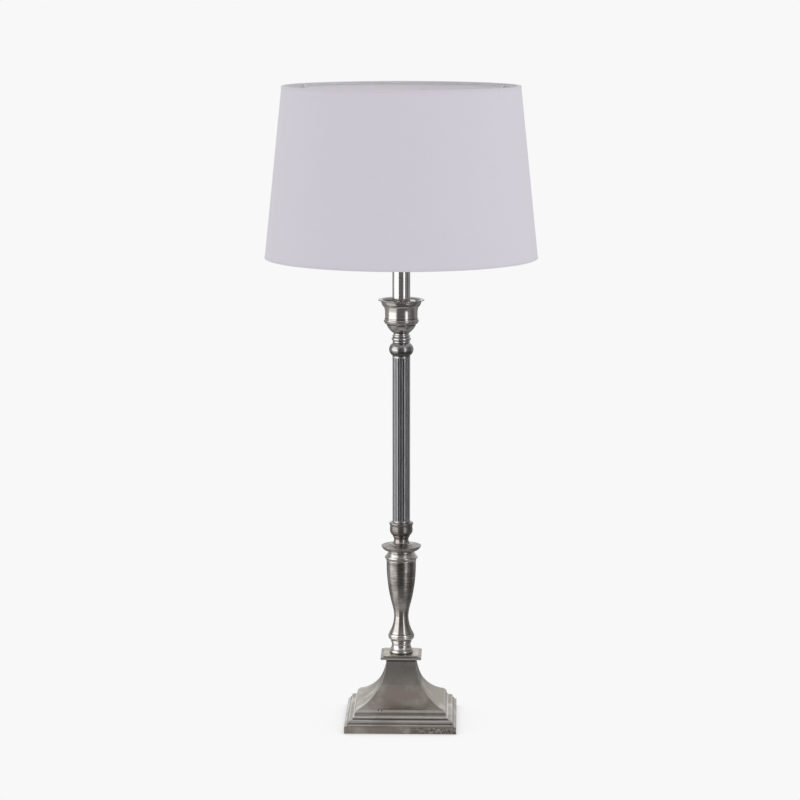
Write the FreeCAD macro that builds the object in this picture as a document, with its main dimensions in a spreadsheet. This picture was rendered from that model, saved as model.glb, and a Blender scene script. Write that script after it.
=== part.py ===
import FreeCAD, Part
import math
import os
import Sketcher

# Candlestick table lamp: stepped square foot, turned baluster, fluted column, candle cup and tube, and a
# tapered drum shade held between two rings on the lampholder. Millimetres. The origin is the centre of the
# underside, on the surface; +Z is up and the front faces -Y. Each piece is drawn on its own seat and placed
# on the piece that carries it, all the way up the hollow rod that holds the stack together.

SIZES = {
    # Broken edges of the turned pieces, and the overrun of a cutting tool
    "edge_break": 0.4,
    "overrun": 1.0,
    # Underside
    "rim_clearance": 0.5,
    "rim_wall": 3.5,
    "felt_thickness": 1.5,
    "felt_corner": 3.0,
    "plate_thickness": 2.0,
    "plate_play": 0.3,
    "screw_inset": 8.3,
    "screw_diameter": 3.0,
    "screw_length": 9.0,
    "screw_head_diameter": 5.6,
    "screw_head_height": 1.2,
    "screw_play": 0.05,
    "head_play": 0.2,
    "cable_hole_diameter": 12.0,
    # Foot casting: outside
    "base_width": 144.6,
    "base_height": 86.6,
    "plinth_height": 9.4,
    "plinth_round": 1.4,
    "foot_bead_inset": 3.0,
    "foot_bead_top": 12.2,
    "foot_bead_round": 0.8,
    "second_step_inset": 4.8,
    "second_step_rise": 1.4,
    "second_step_round": 2.4,
    "second_step_top": 17.0,
    "third_step_inset": 10.5,
    "third_step_rise": 1.4,
    "cove_top": 22.4,
    "cove_inset": 13.1,
    "third_step_top": 24.0,
    "cove_sweep": 0.5,
    "flank_fillet_inset": 14.2,
    "flank_inset": 16.8,
    "flank_foot_height": 27.8,
    "flank_knee_width": 53.0,
    "flank_knee_height": 53.0,
    "flank_lower_sweep": 5.1,
    "flank_upper_sweep": 2.0,
    "neck_width": 38.4,
    # Foot casting: inside
    "casting_wall": 3.4,
    "lower_cavity_inset": 12.3,
    "lower_cavity_top": 10.5,
    "upper_cavity_inset": 17.8,
    "upper_cavity_top": 20.4,
    # Ballast
    "ballast_gap": 4.5,
    "ballast_height": 16.0,
    "ballast_hole_diameter": 26.0,
    "ballast_edge": 1.5,
    "cable_channel_width": 10.0,
    # Cord bush in the back of the foot
    "bush_height": 16.2,
    "bush_bore": 6.8,
    "bush_diameter": 9.0,
    "bush_flange_diameter": 11.8,
    "bush_flange_thickness": 1.8,
    "bush_inset": 15.1,
    "bush_tail": 3.0,
    "bush_play": 0.15,
    "bush_mouth": 0.5,
    # Rod and its fixings
    "rod_diameter": 10.0,
    "rod_bore": 7.2,
    "rod_play": 0.25,
    "thread_play": 0.05,
    "rod_tail": 5.0,
    "washer_diameter": 24.0,
    "washer_thickness": 1.6,
    "nut_flats": 17.0,
    "nut_height": 5.0,
    "cup_nut_flats": 15.0,
    "cup_nut_height": 4.5,
    # Square cap plate
    "cap_width": 52.8,
    "cap_band": 2.7,
    "cap_round": 1.0,
    "cap_top_width": 46.0,
    "cap_slope": 0.4,
    "cap_height": 4.3,
    # Spool on the cap plate
    "spool_foot_diameter": 30.8,
    "spool_foot_height": 4.0,
    "spool_groove_diameter": 27.4,
    "spool_fillet_height": 5.2,
    "spool_shoulder_diameter": 29.2,
    "spool_neck_diameter": 24.8,
    "spool_height": 12.4,
    "spool_cove": 1.2,
    # Ring under the baluster
    "base_ring_foot_diameter": 24.8,
    "base_ring_fillet_diameter": 26.8,
    "base_ring_fillet_foot": 2.0,
    "base_ring_fillet_height": 2.6,
    "base_ring_diameter": 33.2,
    "base_ring_swell": 0.7,
    "base_ring_crown_foot": 9.4,
    "base_ring_top_diameter": 31.8,
    "base_ring_height": 13.1,
    # Baluster
    "baluster_foot_diameter": 31.0,
    "baluster_foot_height": 1.2,
    "baluster_flare_diameter": 23.5,
    "baluster_flare_height": 9.2,
    "baluster_flare_sweep": 0.2,
    "baluster_waist_diameter": 18.6,
    "baluster_waist_height": 23.7,
    "baluster_waist_sweep": 0.6,
    "baluster_calf_diameter": 23.0,
    "baluster_calf_height": 37.2,
    "baluster_calf_sweep": 0.4,
    "baluster_belly": 2.0,
    "baluster_diameter": 38.0,
    "baluster_lip": 3.8,
    "baluster_height": 97.0,
    # Shoulder ring
    "shoulder_foot_diameter": 38.8,
    "shoulder_bead_diameter": 42.6,
    "shoulder_bead_foot": 3.4,
    "shoulder_bead_top": 6.4,
    "shoulder_crown_diameter": 41.0,
    "shoulder_neck_diameter": 33.6,
    "shoulder_slope_top": 12.0,
    "shoulder_height": 12.8,
    # Drip disc
    "disc_neck_diameter": 33.6,
    "disc_neck_height": 0.8,
    "disc_diameter": 51.8,
    "disc_edge_foot": 6.4,
    "disc_edge_height": 1.1,
    "disc_bowl": 1.2,
    "disc_dish": 0.4,
    "disc_height": 9.1,
    # Column socket
    "socket_foot_diameter": 29.0,
    "socket_foot_height": 0.4,
    "socket_neck_diameter": 19.4,
    "socket_neck_height": 8.4,
    "socket_neck_sweep": 2.0,
    "socket_fillet_diameter": 22.0,
    "socket_fillet_foot": 10.0,
    "socket_fillet_height": 1.8,
    "socket_bowl_diameter": 29.4,
    "socket_bowl_top": 19.8,
    "socket_bowl_sweep": 0.9,
    "socket_rim_foot": 23.4,
    "socket_rim_diameter": 31.2,
    "socket_rim_height": 26.6,
    "socket_rim_sweep": 0.3,
    "socket_height": 29.6,
    "socket_depth": 9.6,
    "socket_play": 0.15,
    # Fluted column
    "column_diameter": 22.9,
    "column_bore": 17.2,
    "column_length": 227.0,
    "flute_count": 20,
    "flute_depth": 1.0,
    "flute_radius": 1.45,
    "flute_foot": 1.4,
    "flute_head": 1.6,
    # Ball
    "spigot_length": 4.0,
    "spigot_play": 0.15,
    "ball_foot_diameter": 22.0,
    "ball_diameter": 31.4,
    "ball_crown_diameter": 22.2,
    "ball_height": 17.3,
    # Ring knop
    "knop_lower_diameter": 22.4,
    "knop_lower_height": 2.8,
    "knop_groove_diameter": 20.8,
    "knop_groove_height": 0.4,
    "knop_middle_diameter": 25.0,
    "knop_middle_height": 3.8,
    "knop_upper_diameter": 22.8,
    "knop_upper_height": 3.0,
    "knop_neck_diameter": 19.6,
    "knop_height": 12.0,
    # Candle cup
    "cup_foot_diameter": 19.8,
    "cup_foot_height": 0.6,
    "cup_bowl_diameter": 37.8,
    "cup_bowl_height": 11.2,
    "cup_bowl_sweep": 1.0,
    "cup_line_depth": 0.6,
    "cup_shoulder_diameter": 43.8,
    "cup_belt_foot": 15.4,
    "cup_belt_diameter": 45.2,
    "cup_belt_height": 3.0,
    "cup_waist_diameter": 41.8,
    "cup_waist_height": 25.6,
    "cup_throat_diameter": 46.0,
    "cup_throat_height": 35.0,
    "cup_mouth_diameter": 51.6,
    "cup_mouth_height": 41.4,
    "cup_rim_diameter": 59.6,
    "cup_rim_thickness": 1.2,
    "cup_rim_dish": 0.5,
    "cup_height": 44.1,
    "cup_wall": 2.0,
    "cup_floor": 8.0,
    "cup_floor_diameter": 27.0,
    # Candle tube
    "tube_diameter": 22.8,
    "tube_wall": 1.0,
    "tube_length": 160.0,
    "tube_cap_diameter": 25.0,
    "tube_cap_thickness": 2.0,
    "tube_cap_spigot": 4.0,
    # Lampholder
    "holder_neck_diameter": 17.0,
    "holder_neck_height": 6.0,
    "holder_dome_height": 18.0,
    "holder_cap_height": 22.0,
    "holder_cap_wall": 1.8,
    "holder_seat_diameter": 30.0,
    "holder_thread_length": 11.0,
    "grub_height": 3.0,
    "grub_diameter": 3.0,
    "skirt_diameter": 39.4,
    "skirt_wall": 2.3,
    "skirt_height": 36.0,
    "skirt_lip": 2.0,
    "skirt_mouth_diameter": 29.8,
    "insulator_play": 0.2,
    "insulator_height": 10.0,
    "insulator_well_diameter": 22.0,
    "insulator_well_depth": 3.8,
    "terminal_spacing": 18.0,
    "terminal_diameter": 3.5,
    "terminal_depth": 5.0,
    "terminal_head_diameter": 6.0,
    "terminal_head_height": 2.0,
    "shell_bore": 26.6,
    "shell_wall": 0.5,
    "shell_length": 21.0,
    "shell_flange_diameter": 32.0,
    "contact_width": 6.0,
    "contact_length": 15.0,
    "contact_thickness": 0.6,
    "contact_rise": 2.6,
    "side_contact_gap": 0.3,
    "side_contact_foot": 1.7,
    "side_contact_width": 4.0,
    "side_contact_height": 7.0,
    # Shade rings
    "ring_diameter": 52.0,
    "ring_flange": 3.0,
    "ring_collar_diameter": 47.0,
    "ring_height": 9.0,
    "ring_play": 0.06,
    "ring_setback": 2.0,
    "seat_gap": 0.3,
    # Shade
    "fitter_bore": 41.6,
    "fitter_diameter": 60.0,
    "fitter_thickness": 1.5,
    "frame_wire": 3.0,
    "arm_weld": 2.0,
    "arm_azimuth": 29.0,
    "arm_count": 3,
    "arm_reach": 96.0,
    "arm_bend": 14.0,
    "fitter_drop": 100.1,
    "shade_lower_diameter": 350.0,
    "shade_upper_diameter": 304.6,
    "shade_height": 218.8,
    "cover_thickness": 0.9,
    "trim_thickness": 0.35,
    "trim_width": 2.4,
    "frame_play": 0.1,
}

doc = FreeCAD.newDocument("candlestick_lamp")
sheet = doc.addObject("Spreadsheet::Sheet", "sizes")


class Size:
    """A size worked out from the sheet: its value now, and the formula that ties it to the cells."""

    def __init__(self, formula, value):
        self.formula = formula
        self.value = value

    def __add__(self, other):
        other = sized(other)
        return Size(f"({self.formula} + {other.formula})", self.value + other.value)

    def __sub__(self, other):
        other = sized(other)
        return Size(f"({self.formula} - {other.formula})", self.value - other.value)

    def __mul__(self, other):
        other = sized(other)
        return Size(f"({self.formula} * {other.formula})", self.value * other.value)

    def __truediv__(self, other):
        other = sized(other)
        return Size(f"({self.formula} / {other.formula})", self.value / other.value)

    def __neg__(self):
        return Size(f"(-1 * {self.formula})", -self.value)

    __radd__ = __add__
    __rmul__ = __mul__

    def __rsub__(self, other):
        return sized(other) - self


def sized(number):
    """A plain number as a Size, so that it can stand in a formula."""
    return number if isinstance(number, Size) else Size(repr(number), number)


class Sheet:
    """The cells by their names: s.base_width is the Size of the cell base_width."""


s = Sheet()
for row, (alias, number) in enumerate(SIZES.items(), start=1):
    sheet.set(f"A{row}", alias)
    sheet.set(f"B{row}", str(number))
    sheet.setAlias(f"B{row}", alias)
    setattr(s, alias, Size(f"sizes.{alias}", number))
doc.recompute()

subparts = []

# The middle of a quarter circle stands this share of its radius off the middle of its chord, both ways.
QUARTER = math.sqrt(0.5) - 0.5


# Working tools -------------------------------------------------------------------------------------------


def spot(across, up):
    """A place in a sketch as it stands now."""
    return FreeCAD.Vector(sized(across).value, sized(up).value, 0)


def bind(thing, **formulas):
    """Tie properties to sizes; two underscores stand for the dot in a property's path."""
    for name, size in formulas.items():
        size = sized(size)
        path = name.replace("__", ".")
        if "." not in path:
            setattr(thing, path, size.value)
        thing.setExpression(path, size.formula)
    return thing


def place(thing, height=0, across=0, back=0):
    """Stand a piece at a height above the surface, and off the lamp's axis where it says so."""
    return bind(thing, Placement__Base__x=across, Placement__Base__y=back, Placement__Base__z=height)


def keep(thing, label):
    """Name a finished piece and put it on the list of sub-parts."""
    thing.Label = label
    subparts.append(thing)
    return thing


def new_body(name):
    return doc.addObject("PartDesign::Body", name)


def origin_plane(body, role):
    return next(plane for plane in body.Origin.OriginFeatures if plane.Role == role)


def new_sketch(body, name, role, offset=None):
    """A sketch on one of the body's own origin planes, moved off it where an offset is given."""
    sketch = body.newObject("Sketcher::SketchObject", name)
    sketch.AttachmentSupport = [(origin_plane(body, role), "")]
    sketch.MapMode = "FlatFace"
    if offset is not None:
        bind(sketch, AttachmentOffset__Base__z=offset)
    return sketch


def pin_point(sketch, edge, end, across, up):
    """Hold one point of the sketch at two sizes from the sketch's origin."""
    for kind, size in (("DistanceX", sized(across)), ("DistanceY", sized(up))):
        index = sketch.addConstraint(Sketcher.Constraint(kind, edge, end, float(size.value)))
        sketch.setExpression(f"Constraints[{index}]", size.formula)


def draw(sketch, points):
    """Draw a closed outline. A point is (across, up) after a straight line, or (across, up, bow) or
    (across, up, bow, rise) after an arc: the arc passes the middle of its chord at that offset."""
    spots = [spot(point[0], point[1]) for point in points]
    ends = []
    for index in range(len(points)):
        after = (index + 1) % len(points)
        first, last, target = spots[index], spots[after], points[after]
        if len(target) == 2:
            edge = sketch.addGeometry(Part.LineSegment(first, last))
            ends.append((edge, 1, 2))
            continue
        rise = target[3] if len(target) > 3 else 0
        across = (sized(points[index][0]) + target[0]) / 2 + target[2]
        up = (sized(points[index][1]) + target[1]) / 2 + rise
        crown = spot(across, up)
        turn = (crown - first).cross(last - crown).z
        if turn > 0:
            edge = sketch.addGeometry(Part.ArcOfCircle(first, crown, last))
            ends.append((edge, 1, 2))
        else:
            edge = sketch.addGeometry(Part.ArcOfCircle(last, crown, first))
            ends.append((edge, 2, 1))
        mark = sketch.addGeometry(Part.Point(crown), True)
        sketch.addConstraint(Sketcher.Constraint("PointOnObject", mark, 1, edge))
        pin_point(sketch, mark, 1, across, up)
    for index, (edge, start, _) in enumerate(ends):
        pin_point(sketch, edge, start, points[index][0], points[index][1])
        before, _, finish = ends[index - 1]
        sketch.addConstraint(Sketcher.Constraint("Coincident", before, finish, edge, start))
    return sketch


def rectangle(sketch, half_width, half_depth):
    front = [(-half_width, -half_depth), (half_width, -half_depth)]
    back = [(half_width, half_depth), (-half_width, half_depth)]
    return draw(sketch, front + back)


def circle(sketch, diameter, across=0, up=0):
    """A full circle, held by its centre and diameter."""
    edge = sketch.addGeometry(Part.Circle(spot(across, up), FreeCAD.Vector(0, 0, 1), diameter.value / 2))
    pin_point(sketch, edge, 3, across, up)
    index = sketch.addConstraint(Sketcher.Constraint("Diameter", edge, diameter.value))
    sketch.setExpression(f"Constraints[{index}]", diameter.formula)
    return sketch


def hexagon(sketch, flats):
    """A nut's outline from its width across flats."""
    corner = flats / math.sqrt(3)
    turns = [math.radians(60 * side) for side in range(6)]
    return draw(sketch, [(corner * math.cos(turn), corner * math.sin(turn)) for turn in turns])


def pad(body, sketch, length, name="Pad"):
    feature = body.newObject("PartDesign::Pad", name)
    feature.Profile = (sketch, [""])
    return bind(feature, Length=length)


def pocket_through(body, sketch, name="Pocket"):
    """Cut a sketch right through, both ways from its plane."""
    feature = body.newObject("PartDesign::Pocket", name)
    feature.Profile = (sketch, [""])
    feature.Type = "ThroughAll"
    feature.Midplane = True
    return feature


def revolve(body, sketch, name="Revolution"):
    feature = body.newObject("PartDesign::Revolution", name)
    feature.Profile = (sketch, [""])
    feature.ReferenceAxis = (sketch, ["V_Axis"])
    feature.Angle = 360.0
    return feature


def turned(name, points, height=0):
    """A piece turned on the lathe: its half section, revolved about the upright axis."""
    body = new_body(name)
    revolve(body, draw(new_sketch(body, name + "_section", "XZ_Plane"), points))
    return place(body, height)


def square_turned(name, side, height=0):
    """A four-sided moulding with mitred corners: one profile run both ways, and what the two runs share.
    The side is listed from the bottom up, as half widths and heights."""
    left = []
    for index in range(len(side) - 1, -1, -1):
        bow = side[index + 1][2:] if index + 1 < len(side) else ()
        mirrored = tuple(-part if order == 0 else part for order, part in enumerate(bow))
        left.append((-sized(side[index][0]), side[index][1]) + mirrored)
    widest = max((point[0] for point in side), key=lambda size: sized(size).value)
    runs = []
    for role in ("XZ_Plane", "YZ_Plane"):
        body = new_body(f"{name}_{role[:2].lower()}_run")
        sketch = draw(new_sketch(body, f"{name}_{role[:2].lower()}_profile", role), list(side) + left)
        run = pad(body, sketch, (sized(widest) + s.overrun) * 2)
        run.Midplane = True
        runs.append(body)
    shared = doc.addObject("Part::Common", name)
    shared.Base, shared.Tool = runs
    return place(shared, height)


def rod_cylinder(name, diameter, length, height=0, across=0, back=0):
    cylinder = doc.addObject("Part::Cylinder", name)
    bind(cylinder, Radius=sized(diameter) / 2, Height=length)
    return place(cylinder, height, across, back)


def joined(name, pieces):
    fuse = doc.addObject("Part::MultiFuse", name)
    fuse.Shapes = pieces
    return fuse


def cut(name, base, tool):
    result = doc.addObject("Part::Cut", name)
    result.Base, result.Tool = base, tool
    return result


# Heights of the seats, from the surface up -----------------------------------------------------------------

plate_seat = s.felt_thickness
plate_top = plate_seat + s.plate_thickness
cavity_ceiling = s.base_height - s.casting_wall
washer_seat = cavity_ceiling - s.washer_thickness
nut_seat = washer_seat - s.nut_height
rod_foot = nut_seat - s.rod_tail
cap_seat = s.base_height
spool_seat = cap_seat + s.cap_height
base_ring_seat = spool_seat + s.spool_height
baluster_seat = base_ring_seat + s.base_ring_height
shoulder_seat = baluster_seat + s.baluster_height
disc_seat = shoulder_seat + s.shoulder_height
socket_seat = disc_seat + s.disc_height
column_seat = socket_seat + s.socket_height - s.socket_depth
ball_seat = column_seat + s.column_length
knop_seat = ball_seat + s.ball_height
cup_seat = knop_seat + s.knop_height
tube_seat = cup_seat + s.cup_floor
tube_cap_seat = tube_seat + s.tube_length
holder_seat = tube_cap_seat + s.tube_cap_thickness
skirt_seat = holder_seat + s.holder_cap_height
skirt_top = skirt_seat + s.skirt_height
upper_ring_seat = skirt_top - s.ring_setback - s.ring_height
fitter_seat = upper_ring_seat - s.seat_gap - s.fitter_thickness
lower_ring_seat = fitter_seat - s.seat_gap - s.ring_height
shade_foot = fitter_seat + s.fitter_drop + s.fitter_thickness - s.shade_height

# Half sizes that several pieces share ----------------------------------------------------------------------

rod_hole = s.rod_diameter + s.rod_play * 2
rod_hole_radius = rod_hole / 2
thread_hole = s.rod_diameter + s.thread_play * 2
base_half = s.base_width / 2
recess_half = base_half - s.rim_wall
plate_half = recess_half - s.plate_play
upper_cavity_half = base_half - s.upper_cavity_inset
flank_half = base_half - s.flank_inset
screw_offset = base_half - s.screw_inset
bush_seat_depth = base_half - s.bush_inset
tube_bore = s.tube_diameter - s.tube_wall * 2
corners = [(-1, -1), (1, -1), (1, 1), (-1, 1)]


# The foot --------------------------------------------------------------------------------------------------


def felt_pad():
    """Felt under the whole foot: the lamp stands on it."""
    body = new_body("felt_body")
    outline = rectangle(new_sketch(body, "felt_outline", "XY_Plane"), plate_half, plate_half)
    slab = pad(body, outline, s.felt_thickness)
    doc.recompute()
    fillet = body.newObject("PartDesign::Fillet", "felt_corners")
    upright = [
        f"Edge{number}"
        for number, edge in enumerate(slab.Shape.Edges, start=1)
        if abs(edge.BoundBox.ZLength - s.felt_thickness.value) < 1e-6
    ]
    fillet.Base = (slab, upright)
    bind(fillet, Radius=s.felt_corner)
    keep(body, "felt_pad")


def bottom_plate():
    """Steel plate that closes the foot, with counterbored screw holes and a hole under the rod."""
    body = new_body("plate_body")
    sheet_metal = rectangle(new_sketch(body, "plate_outline", "XY_Plane"), plate_half, plate_half)
    pad(body, sheet_metal, s.plate_thickness)
    holes = new_sketch(body, "plate_holes", "XY_Plane")
    circle(holes, s.cable_hole_diameter)
    heads = new_sketch(body, "plate_counterbores", "XY_Plane")
    for across, back in corners:
        centre = (screw_offset * across, screw_offset * back)
        circle(holes, s.screw_diameter + s.head_play * 2, *centre)
        circle(heads, s.screw_head_diameter + s.head_play * 2, *centre)
    pocket_through(body, holes, "plate_drilling")
    counterbore = body.newObject("PartDesign::Pocket", "plate_counterbore")
    counterbore.Profile = (heads, [""])
    counterbore.Reversed = True
    bind(counterbore, Length=s.screw_head_height)
    place(body, plate_seat)
    keep(body, "bottom_plate")


def plate_screws():
    """Four pan-head screws, up through the plate into the foot."""
    pieces = []
    for number, (across, back) in enumerate(corners, start=1):
        corner = {"across": screw_offset * across, "back": screw_offset * back}
        head_size = (s.screw_head_diameter, s.screw_head_height)
        head = rod_cylinder(f"screw_head_{number}", *head_size, plate_seat, **corner)
        shank = rod_cylinder(f"screw_shank_{number}", s.screw_diameter, s.screw_length, plate_seat, **corner)
        pieces += [head, shank]
    keep(joined("screw_group", pieces), "plate_screws")


def ballast_weight():
    """Cast-iron block on the plate, open in the middle, with a channel at the back for the lead."""
    body = new_body("ballast_body")
    half = upper_cavity_half - s.ballast_gap
    outline = rectangle(new_sketch(body, "ballast_outline", "XY_Plane"), half, half)
    block = pad(body, outline, s.ballast_height)
    doc.recompute()
    chamfer = body.newObject("PartDesign::Chamfer", "ballast_edges")
    rim = [
        f"Edge{number}"
        for number, edge in enumerate(block.Shape.Edges, start=1)
        if edge.BoundBox.ZMin > s.ballast_height.value - 1e-6
    ]
    chamfer.Base = (block, rim)
    bind(chamfer, Size=s.ballast_edge)
    hole = circle(new_sketch(body, "ballast_hole", "XY_Plane"), s.ballast_hole_diameter)
    pocket_through(body, hole, "ballast_bore")
    side = s.cable_channel_width / 2
    channel = new_sketch(body, "ballast_channel", "XY_Plane")
    draw(channel, [(-side, 0), (side, 0), (side, half + s.overrun), (-side, half + s.overrun)])
    pocket_through(body, channel, "ballast_slot")
    place(body, plate_top)
    keep(body, "ballast_weight")


def foot_side():
    """Outside of the foot from its rim to its neck, as half widths and heights."""
    bead = base_half - s.foot_bead_inset
    second = base_half - s.second_step_inset
    third = base_half - s.third_step_inset
    cove = base_half - s.cove_inset
    fillet = base_half - s.flank_fillet_inset
    plinth_bow = s.plinth_round * QUARTER
    bead_bow = s.foot_bead_round * QUARTER
    second_bow = s.second_step_round * QUARTER
    second_crown = s.foot_bead_top + s.second_step_rise
    third_crown = s.second_step_top + s.third_step_rise
    fillet_top = s.third_step_top + (s.flank_foot_height - s.third_step_top) / 3
    knee = s.flank_knee_width / 2
    return [
        (base_half, s.rim_clearance),
        (base_half, s.plinth_height - s.plinth_round),
        (base_half - s.plinth_round, s.plinth_height, plinth_bow, plinth_bow),
        (bead, s.plinth_height),
        (bead, s.foot_bead_top - s.foot_bead_round),
        (bead - s.foot_bead_round, s.foot_bead_top, bead_bow, bead_bow),
        (second, s.foot_bead_top),
        (second, second_crown),
        (second - s.second_step_round, s.second_step_top, second_bow, second_bow),
        (third, s.second_step_top),
        (third, third_crown),
        (cove, s.cove_top, -s.cove_sweep, -s.cove_sweep),
        (cove, s.third_step_top),
        (fillet, s.third_step_top),
        (fillet, fillet_top),
        (flank_half, s.flank_foot_height),
        (knee, s.flank_knee_height, -s.flank_lower_sweep),
        (s.neck_width / 2, s.base_height, -s.flank_upper_sweep),
    ]


def cavity_side():
    """Inside of the foot: a ledge for the plate, two steps, and the flank one wall inside the outer one."""
    lower = base_half - s.lower_cavity_inset
    knee = s.flank_knee_width / 2 - s.casting_wall
    return [
        (recess_half, 0),
        (recess_half, plate_top),
        (lower, plate_top),
        (lower, s.lower_cavity_top),
        (upper_cavity_half, s.lower_cavity_top),
        (upper_cavity_half, s.upper_cavity_top),
        (flank_half - s.casting_wall, s.flank_foot_height - s.casting_wall),
        (knee, s.flank_knee_height - s.casting_wall, -s.flank_lower_sweep),
        (s.neck_width / 2 - s.casting_wall, cavity_ceiling, -s.flank_upper_sweep),
    ]


def base_casting():
    """The square foot: stepped plinth and concave pyramid in one hollow casting."""
    outside = square_turned("foot_outside", foot_side())
    cavity = square_turned("foot_cavity", cavity_side())
    neck_floor = cavity_ceiling - s.casting_wall
    tools = [cavity, rod_cylinder("foot_rod_hole", rod_hole, s.casting_wall * 3, neck_floor)]
    pilot = s.screw_diameter + s.screw_play * 2
    pilot_depth = s.screw_length + s.overrun
    for number, (across, back) in enumerate(corners, start=1):
        corner = {"across": screw_offset * across, "back": screw_offset * back}
        tools.append(rod_cylinder(f"foot_pilot_{number}", pilot, pilot_depth, plate_seat, **corner))
    sleeve = s.bush_diameter + s.bush_play * 2
    flange = s.bush_flange_diameter + s.bush_play * 2
    passage = rod_cylinder("foot_cord_hole", sleeve, base_half, s.bush_height)
    spot_face = rod_cylinder("foot_spot_face", flange, base_half, s.bush_height, back=bush_seat_depth)
    for tool in (passage, spot_face):
        tool.Placement.Rotation = FreeCAD.Rotation(FreeCAD.Vector(1, 0, 0), -90)
        tools.append(tool)
    keep(cut("foot_casting", outside, joined("foot_tools", tools)), "base_casting")


def cord_bush():
    """Plastic bush in the back of the foot, where the lead comes out."""
    bore = s.bush_bore / 2
    flange = s.bush_flange_diameter / 2
    inner_end = bush_seat_depth - upper_cavity_half + s.bush_tail
    outer_end = inner_end + s.bush_flange_thickness
    body = turned(
        "bush_body",
        [
            (bore, 0),
            (s.bush_diameter / 2, 0),
            (s.bush_diameter / 2, inner_end),
            (flange, inner_end),
            (flange, outer_end - s.bush_mouth),
            (flange - s.bush_mouth, outer_end),
            (bore, outer_end),
        ],
    )
    body.Placement.Rotation = FreeCAD.Rotation(FreeCAD.Vector(1, 0, 0), -90)
    place(body, s.bush_height, back=bush_seat_depth - inner_end)
    keep(body, "cord_bush")


def nut(name, label, flats, thickness, height):
    """A hexagon nut on the rod, with its corners turned off at both ends."""
    body = new_body(name)
    pad(body, hexagon(new_sketch(body, name + "_hexagon", "XY_Plane"), flats), thickness)
    thread = circle(new_sketch(body, name + "_thread", "XY_Plane"), thread_hole)
    pocket_through(body, thread, name + "_bore")
    relief = new_sketch(body, name + "_relief", "XZ_Plane")
    corner = flats / math.sqrt(3) + s.overrun
    face = flats / 2
    depth = (corner - face) / 2
    draw(relief, [(face, 0), (corner, 0), (corner, depth)])
    draw(relief, [(face, thickness), (corner, thickness - depth), (corner, thickness)])
    groove = body.newObject("PartDesign::Groove", name + "_corners")
    groove.Profile = (relief, [""])
    groove.ReferenceAxis = (relief, ["V_Axis"])
    groove.Angle = 360.0
    place(body, height)
    keep(body, label)


def rod_and_fixings():
    """Hollow threaded rod from the foot to the lampholder, with the washer and nut that pull it tight."""
    rod_radius = s.rod_diameter / 2
    bore = s.rod_bore / 2
    length = holder_seat + s.holder_thread_length - rod_foot
    edge = s.rod_diameter / 20
    rod = turned(
        "rod_body",
        [
            (bore, 0),
            (rod_radius - edge, 0),
            (rod_radius, edge),
            (rod_radius, length - edge),
            (rod_radius - edge, length),
            (bore, length),
        ],
        rod_foot,
    )
    keep(rod, "stem_rod")
    outer = s.washer_diameter / 2
    thickness = s.washer_thickness
    ring = [(rod_hole_radius, 0), (outer, 0), (outer, thickness), (rod_hole_radius, thickness)]
    keep(turned("washer_body", ring, washer_seat), "rod_washer")
    nut("rod_nut_body", "rod_nut", s.nut_flats, s.nut_height, nut_seat)
    nut("cup_nut_body", "cup_nut", s.cup_nut_flats, s.cup_nut_height, tube_seat)


def cap_plate():
    """Square plate on the neck of the foot: a rounded band below a raised top."""
    half = s.cap_width / 2
    top = s.cap_top_width / 2
    side = [
        (half, 0),
        (half, s.cap_band - s.cap_round),
        (half - s.cap_round, s.cap_band, s.cap_round * QUARTER, s.cap_round * QUARTER),
        (top, s.cap_band + s.cap_slope),
        (top, s.cap_height - s.cap_round),
        (top - s.cap_round, s.cap_height, s.cap_round * QUARTER, s.cap_round * QUARTER),
    ]
    plate = square_turned("cap_moulding", side)
    hole = rod_cylinder("cap_rod_hole", rod_hole, s.cap_height * 3, -s.cap_height)
    finished = cut("cap_drilled", plate, hole)
    place(finished, cap_seat)
    keep(finished, "cap_plate")


# The stem --------------------------------------------------------------------------------------------------


def stem_piece(label, points, height):
    """A turned piece with the rod's clearance hole through it; its points run up the outside from the foot."""
    top = points[-1][1]
    foot = points[0][1]
    section = [(rod_hole_radius, foot)] + points + [(rod_hole_radius, top)]
    return keep(turned(label + "_body", section, height), label)


def foot_spool():
    """Spool that stands on the cap plate: a bead, a groove and a cove up to its neck."""
    foot = s.spool_foot_diameter / 2
    groove = s.spool_groove_diameter / 2
    shoulder = s.spool_shoulder_diameter / 2
    fillet = s.spool_fillet_height - s.spool_foot_height
    bead = s.spool_foot_height / 2
    stem_piece(
        "foot_spool",
        [
            (foot - bead / 2, 0),
            (foot - bead / 2, s.spool_foot_height, bead / 2),
            (groove, s.spool_foot_height),
            (groove, s.spool_fillet_height - fillet / 3),
            (shoulder, s.spool_fillet_height),
            (s.spool_neck_diameter / 2, s.spool_height, -s.spool_cove),
        ],
        spool_seat,
    )


def base_ring():
    """Ring under the baluster: a neck, a fillet between two lines, and a full bead that opens upwards."""
    foot = s.base_ring_foot_diameter / 2
    fillet = s.base_ring_fillet_diameter / 2
    fillet_top = s.base_ring_fillet_foot + s.base_ring_fillet_height
    crown = s.base_ring_diameter / 2
    line = s.edge_break
    stem_piece(
        "base_ring",
        [
            (foot, 0),
            (foot, s.base_ring_fillet_foot),
            (fillet, s.base_ring_fillet_foot),
            (fillet, fillet_top),
            (fillet - line, fillet_top),
            (fillet - line, fillet_top + line),
            (fillet + line, fillet_top + line),
            (crown, s.base_ring_crown_foot, s.base_ring_swell, -s.base_ring_swell),
            (s.base_ring_top_diameter / 2, s.base_ring_height, s.base_ring_swell),
        ],
        base_ring_seat,
    )


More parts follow.
